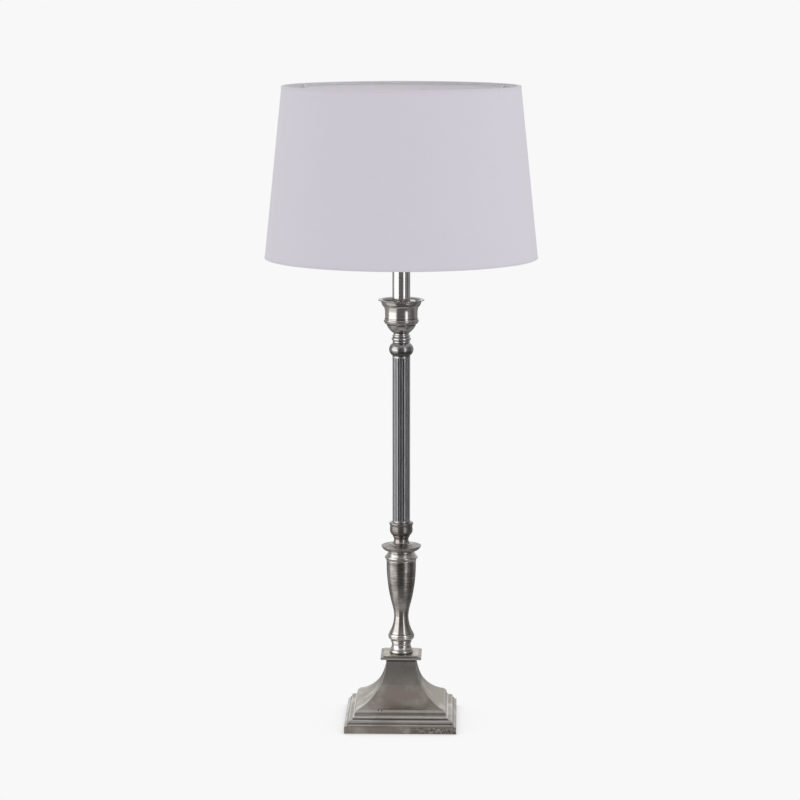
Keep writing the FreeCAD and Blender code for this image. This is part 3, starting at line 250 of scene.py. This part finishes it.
def aged_metal(
    name,
    dark,
    light,
    rough,
    lines=0.35,
    cloud=40.0,
    edge=0.3,
    polish=None,
    bands=(),
    foot=False,
):
    """Plated metal with a rubbed patina: brushed rings, faint clouds, painted shade and patina in the
    hollows, and edges rubbed bright with a painted highlight.
    Polish names two heights: the metal is satin at the first and rubbed bright at the second."""
    material, g = new_material(name)
    where = place_on_object(g)
    x, y, z = g.parts(where)
    # One dark tone for the plinth's real grime and for painted shade in hollows and bands.
    grime_and_shade = tinted(dark, GRIME_AND_SHADE)
    clouds, rings, specks, blend = worn_grain(g, where, lines, cloud)
    if foot:
        # Painted light: the foot lighter to the left and towards the top, as the light falls.
        blend = g.math("ADD", blend, g.ramp(x, *FOOT_PAINTED_SIDE_LIGHT))
        blend = g.math("ADD", blend, g.ramp(z, *FOOT_PAINTED_TOP_LIGHT))
    patina = g.ramp(blend, *(FOOT_PATINA if foot else STEM_PATINA))
    roughness = g.math("ADD", rough, g.math("MULTIPLY", g.math("SUBTRACT", 0.5, patina), 0.08))
    if polish:
        rubbed = g.ramp(z, polish[0], polish[1])
        patina = g.math("MAXIMUM", patina, g.math("MULTIPLY", rubbed, 0.7))
        roughness = g.math("SUBTRACT", roughness, g.math("MULTIPLY", rubbed, 0.08))
    shade = g.mix(patina, dark, light)
    shade, soft = shade_and_wear_form(g, shade, grime_and_shade, edge, FOOT_HOLLOW_SHADE if foot else STEM_HOLLOW_SHADE)
    shade = painted_light_bands(g, shade, z, clouds, bands, grime_and_shade)
    height = g.math("ADD", g.math("MULTIPLY", specks, 0.4), g.math("MULTIPLY", rings, 0.6))
    if foot:
        shade, pitting = worn_plinth(g, shade, where, grime_and_shade)
        height = g.math("ADD", height, pitting)
    bump = g.bump(height, 0.03 * MM, 0.5, {"Normal": soft})
    finish_surface(g, shade, roughness, bump, {"Metallic": 1.0})
    return material


def fluted_metal(name, dark, light, rough):
    """The column's satin metal: patina darker down in the flutes, and the ridges lighter, partly rubbed
    and partly a painted highlight.
    """
    material, g = new_material(name)
    where = place_on_object(g)
    x, y, z = g.parts(where)
    off_axis = g.measure("LENGTH", g.join(x, y, 0.0))
    # Patina in the flutes, and a painted highlight with rubbing on the ridges.
    ridge_highlight_and_rub = g.ramp(off_axis, COLUMN_RADIUS - FLUTE_DEPTH, COLUMN_RADIUS - 0.1 * MM)
    drawn_out = g.join(g.math("MULTIPLY", x, 6.0), g.math("MULTIPLY", y, 6.0), z)
    along = g.noise(drawn_out, 60.0, 4.0, 0.6)
    grain = g.noise(where, 600.0, 3.0, 0.6)
    patina = g.math("ADD", g.math("MULTIPLY", ridge_highlight_and_rub, 0.75), g.math("MULTIPLY", along, 0.4))
    shade = g.mix(g.ramp(patina, 0.1, 1.0), dark, light)
    finish_surface(g, shade, rough, g.bump(grain, 0.02 * MM, 0.4), {"Metallic": 1.0})
    return material


def plain_metal(name, tone, rough, fine=900.0, thread=0.0):
    """Clean metal with a little grain, and the ridges of a screw thread where a pitch is given."""
    material, g = new_material(name)
    where = place_on_object(g)
    grain = g.noise(where, fine, 3.0, 0.6)
    shade = g.mix(g.ramp(grain, 0.3, 0.7), tone, tinted(tone, 0.82))
    height = g.math("MULTIPLY", grain, 0.15)
    if thread:
        x, y, z = g.parts(where)
        turn = g.math("DIVIDE", g.math("ARCTAN2", y, x), math.tau)
        phase = g.math("SUBTRACT", g.math("DIVIDE", z, thread), turn)
        height = g.math("PINGPONG", phase, 0.5)
    roughness = g.ramp(grain, 0.2, 0.8, rough * 0.85, rough * 1.2)
    finish_surface(g, shade, roughness, g.bump(height, 0.5 * MM, 0.5), {"Metallic": 1.0})
    return material


# Plastics, paint, felt, cloth ----------------------------------------------------------------------


def moulded(name, tone, rough, grain=700.0, depth=0.02, faded=0.9):
    """Moulded plastic or paint: a fine grain, and clouds down to the faded share of its tone."""
    material, g = new_material(name)
    where = place_on_object(g)
    fine = g.noise(where, grain, 3.0, 0.55)
    broad = g.noise(where, 40.0, 2.0, 0.5)
    shade = g.mix(g.ramp(broad, 0.3, 0.7), tone, tinted(tone, faded))
    roughness = g.ramp(fine, 0.25, 0.75, rough * 0.8, rough * 1.2)
    finish_surface(g, shade, roughness, g.bump(fine, depth * MM, 0.6), {"IOR": 1.5})
    return material


def felt(name, tone):
    """Pressed felt: short fibres in every direction."""
    material, g = new_material(name)
    where = place_on_object(g)
    fibres = g.noise(where, 1400.0, 6.0, 0.75)
    tufts = g.noise(where, 260.0, 4.0, 0.6)
    shade = g.mix(g.ramp(fibres, 0.3, 0.7), tone, tinted(tone, 2.2))
    height = g.math("ADD", fibres, g.math("MULTIPLY", tufts, 0.6))
    finish_surface(g, shade, 0.95, g.bump(height, 0.3 * MM, 0.8), {"Sheen Weight": 0.3})
    return material


def woven(name, tone, pitch, radius, depth=0.03):
    """Fine plain weave round the drum: warp upright, weft level, with slubs in both."""
    material, g = new_material(name)
    where = place_on_object(g)
    x, y, z = g.parts(where)
    around = g.math("MULTIPLY", g.math("ARCTAN2", y, x), radius)

    def slub(per_metre_around, per_metre_up, layer):
        across = g.math("MULTIPLY", around, per_metre_around)
        return g.noise(g.join(across, g.math("MULTIPLY", z, per_metre_up), layer), 1.0, 2.0, 0.5)

    warp = g.math("SINE", g.math("MULTIPLY", around, math.tau / pitch))
    weft = g.math("SINE", g.math("MULTIPLY", z, math.tau / pitch))
    slubs = g.math("ADD", slub(900.0, 30.0, 0.0), slub(25.0, 900.0, 4.0))
    clouds = g.noise(where, 9.0, 2.0, 0.5)
    shade = g.mix(g.ramp(slubs, 0.7, 1.3), tone, tinted(tone, WEAVE_SHADE))
    shade = g.mix(g.ramp(clouds, 0.35, 0.65, 0.0, 0.35), shade, tinted(tone, WEAVE_SHADE))
    height = g.math("ADD", g.math("MULTIPLY", g.math("MULTIPLY", warp, weft), 0.5), slubs)
    more = {"Specular IOR Level": 0.2, "Sheen Weight": 0.1}
    finish_surface(g, shade, 0.9, g.bump(height, depth * MM, 0.5), more)
    return material


HIGHLIGHT_AND_BARE_SILVER = colour(0.86, 0.85, 0.83)
WARM_DARK = colour(0.145, 0.123, 0.11)
WARM_LIGHT = colour(0.43, 0.408, 0.387)
DISC_DARK = colour(0.24, 0.215, 0.2)
SOCKET_LIGHT = colour(0.38, 0.357, 0.335)
BALL_DARK = colour(0.2, 0.198, 0.195)
BALL_LIGHT = colour(0.6, 0.595, 0.59)
RING_DARK = colour(0.36, 0.34, 0.32)
RING_LIGHT = colour(0.76, 0.745, 0.72)
BALUSTER_LIGHT = colour(0.5, 0.475, 0.45)
CUP_LIGHT = colour(0.7, 0.675, 0.645)
FLUTE_DARK = colour(0.055, 0.055, 0.058)
FLUTE_LIGHT = colour(0.45, 0.45, 0.465)
NICKEL_DARK = colour(0.56, 0.55, 0.54)
NICKEL_LIGHT = colour(0.76, 0.75, 0.74)
STEEL = colour(0.56, 0.57, 0.58)
FOOT_DARK = colour(0.34, 0.297, 0.257)
FOOT_LIGHT = colour(0.57, 0.535, 0.495)
STEM_PATINA = (0.33, 0.69)
FOOT_PATINA = (0.39, 0.64)
WEAVE_SHADE = 0.975
WEAVE_PITCH = 0.45 * MM

# How dark the painted shade and patina are in the hollows.
STEM_HOLLOW_SHADE = 0.6
FOOT_HOLLOW_SHADE = 0.25

# Painted light on the foot, lighter to the left and towards the top as the light falls: where each ramp
# starts and ends, and what it adds to the patina at each.
FOOT_PAINTED_SIDE_LIGHT = (10.0 * MM, -40.0 * MM, -0.04, 0.05)
FOOT_PAINTED_TOP_LIGHT = (40.0 * MM, 55.0 * MM, -0.06, 0.13)

# Heights of polish, of the bands of painted highlight and painted shade, and of the plinth's real wear,
# and the places across the foot, in the row frame.
PLINTH_WEAR_START = -25.0 * MM
PLINTH_WEAR_END = 50.0 * MM
FOOT_PITS = ((-28.5 * MM, 27.4 * MM), (-24.0 * MM, 27.0 * MM))
PIT_CORE = 0.6 * MM
PIT_RADIUS = 1.3 * MM
# Painted highlights on the foot's rounded steps, painted shade in its quirks and under the cap.
FOOT_PAINTED_BANDS = (
    (10.6 * MM, 1.5 * MM, 0.6),
    (12.6 * MM, 0.8 * MM, -0.5),
    (15.2 * MM, 2.0 * MM, 0.6),
    (17.3 * MM, 0.6 * MM, -0.2),
    (20.0 * MM, 2.2 * MM, 0.6),
    (23.4 * MM, 0.9 * MM, -0.4),
    (26.2 * MM, 1.7 * MM, 0.3),
    (FOOT_TOP - 2.4 * MM, 2.4 * MM, -0.8),
)
# Painted highlight on the cap's lip and painted shade in its quirk.
CAP_PAINTED_BANDS = ((FOOT_TOP + 0.8 * MM, 1.2 * MM, 0.85), (FOOT_TOP + 2.8 * MM, 0.8 * MM, -0.4))
# Painted shade on the ball's lower half.
BALL_PAINTED_SHADE = ((486.3 * MM, 4.4 * MM, -0.7),)
# Painted shade and patina in the cup's incised lines, and painted shade on its flare.
CUP_PAINTED_SHADE = (
    (531.6 * MM, 0.9 * MM, -0.55),
    (549.4 * MM, 0.9 * MM, -0.6),
    (555.0 * MM, 6.0 * MM, -0.3),
)
SOCKET_POLISH = (245.5 * MM, 243.0 * MM)
BALUSTER_POLISH = (172.0 * MM, 126.0 * MM)
CUP_POLISH = (524.5 * MM, 530.0 * MM)

disc_silver = aged_metal("disc_silver", DISC_DARK, WARM_LIGHT, 0.38, lines=0.3)
socket_silver = aged_metal("socket_silver", WARM_DARK, SOCKET_LIGHT, 0.28, polish=SOCKET_POLISH)
ball_silver = aged_metal("ball_silver", BALL_DARK, BALL_LIGHT, 0.2, bands=BALL_PAINTED_SHADE)
bright_silver = aged_metal("bright_silver", RING_DARK, RING_LIGHT, 0.22, lines=0.3)
baluster_silver = aged_metal("baluster_silver", WARM_DARK, BALUSTER_LIGHT, 0.26, polish=BALUSTER_POLISH)
cup_silver = aged_metal("cup_silver", WARM_DARK, CUP_LIGHT, 0.26, polish=CUP_POLISH, bands=CUP_PAINTED_SHADE)
foot_silver = aged_metal(
    "foot_silver",
    FOOT_DARK,
    FOOT_LIGHT,
    0.33,
    lines=0.1,
    cloud=26.0,
    edge=0.6,
    bands=FOOT_PAINTED_BANDS,
    foot=True,
)
cap_silver = aged_metal(
    "cap_silver",
    FOOT_DARK,
    FOOT_LIGHT,
    0.36,
    lines=0.1,
    cloud=26.0,
    edge=0.6,
    bands=CAP_PAINTED_BANDS,
)
column_silver = fluted_metal("column_silver", FLUTE_DARK, FLUTE_LIGHT, 0.33)
bright_nickel = aged_metal("bright_nickel", NICKEL_DARK, NICKEL_LIGHT, 0.15, lines=0.5)
fabric = woven("shade_weave", colour(0.72, 0.69, 0.76), WEAVE_PITCH, LOWER_RADIUS)
tape_cloth = woven("shade_tape", colour(0.70, 0.67, 0.74), WEAVE_PITCH, LOWER_RADIUS, 0.05)
lining = moulded("shade_lining", colour(0.86, 0.83, 0.875), 0.55, 300.0, 0.03, faded=0.985)
white_wire = moulded("white_wire", colour(0.82, 0.82, 0.81), 0.35, 500.0, 0.03)
holder_black = moulded("holder_black", colour(0.022, 0.022, 0.024), 0.28)
black_plastic = moulded("black_plastic", colour(0.03, 0.03, 0.03), 0.5)
cream = moulded("insulator_cream", colour(0.72, 0.69, 0.62), 0.3)
black_steel = moulded("black_steel", colour(0.03, 0.03, 0.032), 0.4, 600.0, 0.03)
iron = plain_metal("raw_iron", colour(0.12, 0.115, 0.11), 0.65, 350.0)
zinc = plain_metal("zinc_steel", STEEL, 0.34)
rod_steel = plain_metal("threaded_steel", STEEL, 0.3, thread=ROD_PITCH)
brass = plain_metal("brass", colour(0.78, 0.55, 0.24), 0.24)
black_felt = felt("black_felt", colour(0.018, 0.018, 0.018))

CAD_LOOKS = {
    "felt_pad": black_felt,
    "bottom_plate": black_steel,
    "plate_screws": zinc,
    "ballast_weight": iron,
    "base_casting": foot_silver,
    "cord_bush": black_plastic,
    "rod_washer": zinc,
    "rod_nut": zinc,
    "cup_nut": zinc,
    "stem_rod": rod_steel,
    "cap_plate": cap_silver,
    "foot_spool": bright_silver,
    "base_ring": bright_silver,
    "baluster": baluster_silver,
    "shoulder_ring": bright_silver,
    "drip_disc": disc_silver,
    "column_socket": socket_silver,
    "fluted_column": column_silver,
    "ball_knop": ball_silver,
    "ring_knop": bright_silver,
    "candle_cup": cup_silver,
    "candle_tube": bright_nickel,
    "tube_cap": bright_nickel,
    "holder_cap": holder_black,
    "holder_grub_screw": zinc,
    "holder_skirt": holder_black,
    "insulator": cream,
    "screw_shell": brass,
    "centre_contact": brass,
    "side_contact": brass,
    "terminal_screws": brass,
    "lower_shade_ring": holder_black,
    "upper_shade_ring": holder_black,
    "top_frame": white_wire,
    "bottom_ring": white_wire,
    "shade_cover": fabric,
    "top_trim": tape_cloth,
    "bottom_trim": tape_cloth,
}
for node_name, look in CAD_LOOKS.items():
    NODES[node_name].data.materials.clear()
    NODES[node_name].data.materials.append(look)


# Mesh tools -----------------------------------------------------------------------------------------


def turn_angles(turns):
    return [math.tau * turn / turns for turn in range(turns)]


def on_circle(radius, angle, height):
    return (radius * math.cos(angle), radius * math.sin(angle), height)


def new_object(name, mesh, look, *more_looks):
    made = bpy.data.objects.new(name, mesh)
    bpy.context.scene.collection.objects.link(made)
    for each in (look, *more_looks):
        made.data.materials.append(each)
    return made


def ring_mesh(name, rings, closed=True, material_of=None):
    """A skin over rings of points, each ring joined to the next; the last joins the first where closed."""
    mesh = bmesh.new()
    rows = [[mesh.verts.new(point) for point in ring] for ring in rings]
    count = len(rows[0])
    last = len(rows) if closed else len(rows) - 1
    for row in range(last):
        lower, upper = rows[row], rows[(row + 1) % len(rows)]
        for step in range(count):
            after = (step + 1) % count
            face = mesh.faces.new((lower[step], lower[after], upper[after], upper[step]))
            face.smooth = True
            if material_of:
                face.material_index = material_of(row, step)
    bmesh.ops.recalc_face_normals(mesh, faces=mesh.faces)
    for edge in mesh.edges:
        edge.smooth = edge.calc_face_angle(0.0) < FOLD_ANGLE
    data = bpy.data.meshes.new(name)
    mesh.to_mesh(data)
    mesh.free()
    return data


# The shade ------------------------------------------------------------------------------------------


def face_radius(height):
    """Outer radius of the cover's cloth at a height."""
    share = (height - SHADE_FOOT) / (SHADE_TOP - SHADE_FOOT)
    return LOWER_RADIUS + (UPPER_RADIUS - LOWER_RADIUS) * share - TAPE


def seam_rise(angle, radius):
    """How far the lapped end of the cloth stands out, near the back of the shade."""
    off = abs((angle - math.pi / 2 + math.pi) % math.tau - math.pi) * radius
    return SEAM_RISE * min(1.0, max(0.0, (SEAM_WIDTH / 2 - off) / SEAM_SLOPE + 0.5))


def drum_ring(height, outside):
    """One ring of the cover at a height: on its cloth, with the lap's rise, or on its lining."""
    radius = face_radius(height)
    ring = []
    for angle in turn_angles(SHADE_TURNS):
        rise = seam_rise(angle, radius) if outside else -COVER_THICKNESS
        ring.append(on_circle(radius + rise, angle, height))
    return ring


def shade_drum():
    """The cover: cloth outside, a smooth white lining inside, lapped and glued at the back."""
    levels = 24
    low, high = cover_low.z, cover_high.z
    heights = [low + (high - low) * (level / levels) for level in range(levels + 1)]
    cloth = [drum_ring(height, True) for height in heights]
    inside = [drum_ring(height, False) for height in reversed(heights)]
    mesh = ring_mesh(
        "shade_drum",
        cloth + inside,
        material_of=lambda row, step: 1 if row >= len(cloth) else 0,
    )
    drum = new_object("shade_drum", mesh, fabric, lining)
    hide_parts("shade_cover")
    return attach(drum, "shade")


def hem(name, node, edge, inward):
    """Tape turned over the edge: it lies on the cloth, rolls over the edge, and ends behind the wire."""
    low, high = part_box(node)
    tip = edge + inward * (high.z - low.z)
    feather = 0.3 * MM
    roll = 0.8 * MM
    corner = roll * 0.3
    behind_wire = 3.1 * MM
    tuck = 1.3 * MM
    behind = face_radius(edge) - COVER_THICKNESS - behind_wire
    inner_end = edge + inward * tuck
    profile = [
        (face_radius(tip), tip),
        (face_radius(tip) + TAPE * 0.7, tip),
        (face_radius(tip) + TAPE, tip - inward * feather),
        (face_radius(edge + inward * roll) + TAPE, edge + inward * roll),
        (face_radius(edge) + TAPE - corner, edge + inward * corner),
        (face_radius(edge) + TAPE - roll, edge),
        (behind + roll, edge),
        (behind - TAPE + corner, edge + inward * corner),
        (behind - TAPE, edge + inward * roll),
        (behind - TAPE, inner_end),
        (behind, inner_end),
        (behind, edge + inward * TAPE * 1.5),
        (face_radius(edge), edge + inward * TAPE * 1.5),
    ]
    rings = []
    for radius, height in profile:
        ring = []
        for angle in turn_angles(SHADE_TURNS):
            lap = seam_rise(angle, radius) * 0.9
            ring.append(on_circle(radius + lap, angle, height))
        rings.append(ring)
    made = new_object(name, ring_mesh(name, rings), tape_cloth)
    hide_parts(node)
    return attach(made, "shade")


drum = shade_drum()
bottom_hem = hem("bottom_hem", "bottom_trim", SHADE_FOOT, 1)
top_hem = hem("top_hem", "top_trim", SHADE_TOP, -1)


# The lampholder -------------------------------------------------------------------------------------


def bulb_thread():
    """The brass shell with its rolled thread, and the flange that it stands on."""
    low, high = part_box("screw_shell")
    bore = 13.3 * MM
    pitch = 3.629 * MM
    depth = 0.45 * MM
    wall = 0.45 * MM
    flange_height = 0.5 * MM
    run_in = 2.0 * MM
    run_out = 1.0 * MM
    turns = 96
    steps = 84
    middle = bore + depth / 2
    start = low.z + flange_height

    def thread_ring(share, wall_outside):
        """One ring of the shell, with the thread faded in at its foot and out at its mouth."""
        height = start + (high.z - start) * share
        fade = max(0.0, min(1.0, (height - start) / run_in, (high.z - height) / run_out))
        ring = []
        for angle in turn_angles(turns):
            wave = math.cos(math.tau * (height / pitch) - angle)
            ring.append(on_circle(middle + depth / 2 * wave * fade + wall_outside, angle, height))
        return ring

    rings = [thread_ring(step / steps, wall) for step in range(steps + 1)]
    rings += [thread_ring(1 - step / steps, 0.0) for step in range(steps + 1)]
    for radius, height in ((middle, low.z), (high.x, low.z), (high.x, start)):
        rings.append([on_circle(radius, angle, height) for angle in turn_angles(turns)])
    made = new_object("bulb_thread", ring_mesh("bulb_thread", rings), brass)
    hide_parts("screw_shell")
    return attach(made, "stand")


def ring_grips(name, node, body, flange_up):
    """Finger ribs round the collar of a shade ring."""
    low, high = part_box(node)
    collar = 23.5 * MM
    sunk = 0.2 * MM
    ribs = 32
    depth = 0.8 * MM
    width = 2.2 * MM
    steps = 6
    plain_end = 0.8 * MM
    flange_end = 3.0 * MM
    foot = low.z + (plain_end if flange_up else flange_end)
    top = high.z - (flange_end if flange_up else plain_end)
    mesh = bmesh.new()
    for rib in range(ribs):
        turn = Matrix.Rotation(math.tau * rib / ribs, 4, "Z")
        section = []
        for step in range(steps + 1):
            across = math.pi * step / steps
            out = collar - sunk + depth * math.sin(across)
            section.append(turn @ Vector((out, -width / 2 * math.cos(across), 0)))
        lower = [mesh.verts.new(point + Vector((0, 0, foot))) for point in section]
        upper = [mesh.verts.new(point + Vector((0, 0, top))) for point in section]
        for step in range(steps):
            side = mesh.faces.new((lower[step], lower[step + 1], upper[step + 1], upper[step]))
            side.smooth = True
        mesh.faces.new(upper)
        mesh.faces.new(lower[::-1])
    data = bpy.data.meshes.new(name)
    mesh.to_mesh(data)
    mesh.free()
    made = new_object(name, data, holder_black)
    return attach(made, body)


bulb_thread()
ring_grips("lower_ring_grips", "lower_shade_ring", "lower_ring", True)
ring_grips("upper_ring_grips", "upper_shade_ring", "upper_ring", False)


# Studio ---------------------------------------------------------------------------------------------

BACKGROUND = 0.9387
AMBIENT = 0.8
FLOOR_HALF = 0.6
FLOOR_GAP = 0.2 * MM
FLOOR_TONE = 0.72
MIRRORED_FLOOR_EDGE = (0.14, 0.3)
SHADOW_REACH = 60 * MM
SHADOW_DEPTH = 0.3
SKY_LOW = 0.15
SKY_HIGH = 0.46
LAMP_AIM = (0, 0, 0.6)


# Past every angle, for a box that is open on that side.
NO_LIMIT = 400.0


class SoftBox(NamedTuple):
    """A patch of the studio that metal mirrors: degrees round from the front, degrees up, strength."""

    round_from: float
    round_to: float
    round_soft: float
    up_from: float
    up_to: float
    up_soft: float
    strength: float


SOFT_BOXES = {
    "left": SoftBox(-97.0, -35.0, 7.0, -52.0, 62.0, 12.0, 0.9),
    "left_hot": SoftBox(-97.0, -35.0, 7.0, -16.0, 52.0, 9.0, 1.1),
    "right": SoftBox(32.0, 47.0, 5.0, -26.0, 62.0, 10.0, 2.1),
    "back_left": SoftBox(-NO_LIMIT, -150.0, 12.0, -3.0, 40.0, 4.0, 0.85),
    "back_right": SoftBox(150.0, NO_LIMIT, 12.0, -3.0, 40.0, 4.0, 0.75),
    "left_side": SoftBox(-150.0, -92.0, 10.0, -NO_LIMIT, NO_LIMIT, 1.0, 0.25),
    "right_side": SoftBox(50.0, 76.0, 8.0, -NO_LIMIT, NO_LIMIT, 1.0, 0.12),
    "right_back": SoftBox(108.0, 150.0, 12.0, -NO_LIMIT, NO_LIMIT, 1.0, 0.2),
}


def studio_floor():
    """A pale floor without an edge in the picture; the camera sees it in the backdrop's own tone, with a
    painted contact shadow that darkens it near the lamp.
    The stem mirrors the soft boxes down to below the horizon, so the far floor isn't mirrored.
    It lies just under the felt, so that the two faces don't share a plane."""
    mesh = bmesh.new()
    corners = []
    for x, y in ((-1, -1), (1, -1), (1, 1), (-1, 1)):
        corners.append(mesh.verts.new((x * FLOOR_HALF, y * FLOOR_HALF, -FLOOR_GAP)))
    mesh.faces.new(corners)
    data = bpy.data.meshes.new("studio_floor")
    mesh.to_mesh(data)
    mesh.free()
    material, g = new_material("floor_paint")
    x, y, z = g.parts(place_on_object(g))
    away = g.measure("LENGTH", g.join(x, y, 0.0))
    rays = g.node("ShaderNodeLightPath", None)
    far = g.math("MULTIPLY", g.ramp(away, *MIRRORED_FLOOR_EDGE), rays.outputs["Is Glossy Ray"])
    paint = g.node("ShaderNodeBsdfDiffuse", 0, {"Color": grey(FLOOR_TONE)})
    clear = g.node("ShaderNodeBsdfTransparent")
    # Painted contact shadow: the camera's view of the floor darkens where the lamp hides the sky.
    near = g.node("ShaderNodeAmbientOcclusion", "AO", {"Distance": SHADOW_REACH}, samples=16)
    tone = g.math("MULTIPLY", g.ramp(near, 0.3, 1.0, 1.0 - SHADOW_DEPTH, 1.0), BACKGROUND)
    bright = g.node("ShaderNodeEmission", 0, {"Color": g.join(tone, tone, tone)})
    lit = g.node("ShaderNodeMixShader", 0, {0: far, 1: paint, 2: clear})
    seen = {0: rays.outputs["Is Camera Ray"], 1: lit, 2: bright}
    finish_material(g, g.node("ShaderNodeMixShader", None, seen))
    new_object("studio_floor", data, material)


def studio_world():
    """The backdrop to the camera, even light for matt surfaces, and soft boxes for metal."""
    world = bpy.data.worlds.new("studio")
    bpy.context.scene.world = world
    world.use_nodes = True
    g = Graph(world.node_tree)
    way = g.node("ShaderNodeTexCoord", "Generated")
    x, y, z = g.parts(g.vector("NORMALIZE", way))
    degree = 180 / math.pi
    around = g.math("MULTIPLY", g.math("ARCTAN2", x, g.math("MULTIPLY", y, -1.0)), degree)
    up = g.math("MULTIPLY", g.math("ARCSINE", z), degree)

    def window(value, low, high, soft):
        rise = g.ramp(value, low - soft, low + soft)
        return g.math("MULTIPLY", rise, g.ramp(value, high - soft, high + soft, 1.0, 0.0))

    level = g.ramp(up, 5.0, 75.0, SKY_LOW, SKY_HIGH)
    for box in SOFT_BOXES.values():
        across = window(around, box.round_from, box.round_to, box.round_soft)
        upright = window(up, box.up_from, box.up_to, box.up_soft)
        patch = g.math("MULTIPLY", g.math("MULTIPLY", across, upright), box.strength)
        level = g.math("ADD", level, patch)
    rays = g.node("ShaderNodeLightPath", None)
    lift = g.math("MULTIPLY", rays.outputs["Is Glossy Ray"], g.math("SUBTRACT", level, AMBIENT))
    strength = g.math("ADD", lift, AMBIENT)
    unseen = g.join(strength, strength, strength)
    light = g.mix(rays.outputs["Is Camera Ray"], unseen, grey(BACKGROUND))
    backdrop = g.node("ShaderNodeBackground", None, {"Color": light, "Strength": 1.0})
    output = g.node("ShaderNodeOutputWorld", None)
    g.tree.links.new(backdrop.outputs[0], output.inputs["Surface"])


def soft_light(name, place, aim, size, power):
    """A large panel that lights the matt surfaces and isn't mirrored in the metal."""
    lamp = bpy.data.lights.new(name, "AREA")
    lamp.shape = "RECTANGLE"
    lamp.size, lamp.size_y = size
    lamp.energy = power
    made = bpy.data.objects.new(name, lamp)
    bpy.context.scene.collection.objects.link(made)
    made.location = place
    made.rotation_euler = (Vector(aim) - Vector(place)).to_track_quat("-Z", "Y").to_euler()
    made.visible_glossy = False
    made.visible_camera = False
    return made


def studio_camera():
    """Camera at the photograph's place: its pitch, distance and the lamp's place in the frame."""
    data = bpy.data.cameras.new("camera")
    data.sensor_width = 36.0
    data.lens = FOCAL_PIXELS / PICTURE * data.sensor_width
    data.clip_start = 0.1
    data.clip_end = 100.0
    made = bpy.data.objects.new("camera", data)
    bpy.context.scene.collection.objects.link(made)
    turn = math.radians(CAMERA_AZIMUTH)
    made.location = (CAMERA_DISTANCE * math.sin(turn), -CAMERA_DISTANCE * math.cos(turn), CAMERA_HEIGHT)
    aside = math.atan(AXIS_OFFSET_PIXELS / FOCAL_PIXELS)
    made.rotation_euler = (math.radians(90 - CAMERA_PITCH), 0, turn + aside)
    bpy.context.scene.camera = made


studio_floor()
studio_world()
soft_light("key_right", (2.9, -1.35, 1.6), LAMP_AIM, (1.6, 1.6), 12.0)
soft_light("fill_left", (-3.0, -0.8, 0.45), LAMP_AIM, (1.6, 0.7), 7.5)
studio_camera()
bpy.context.scene.view_settings.view_transform = "Standard"
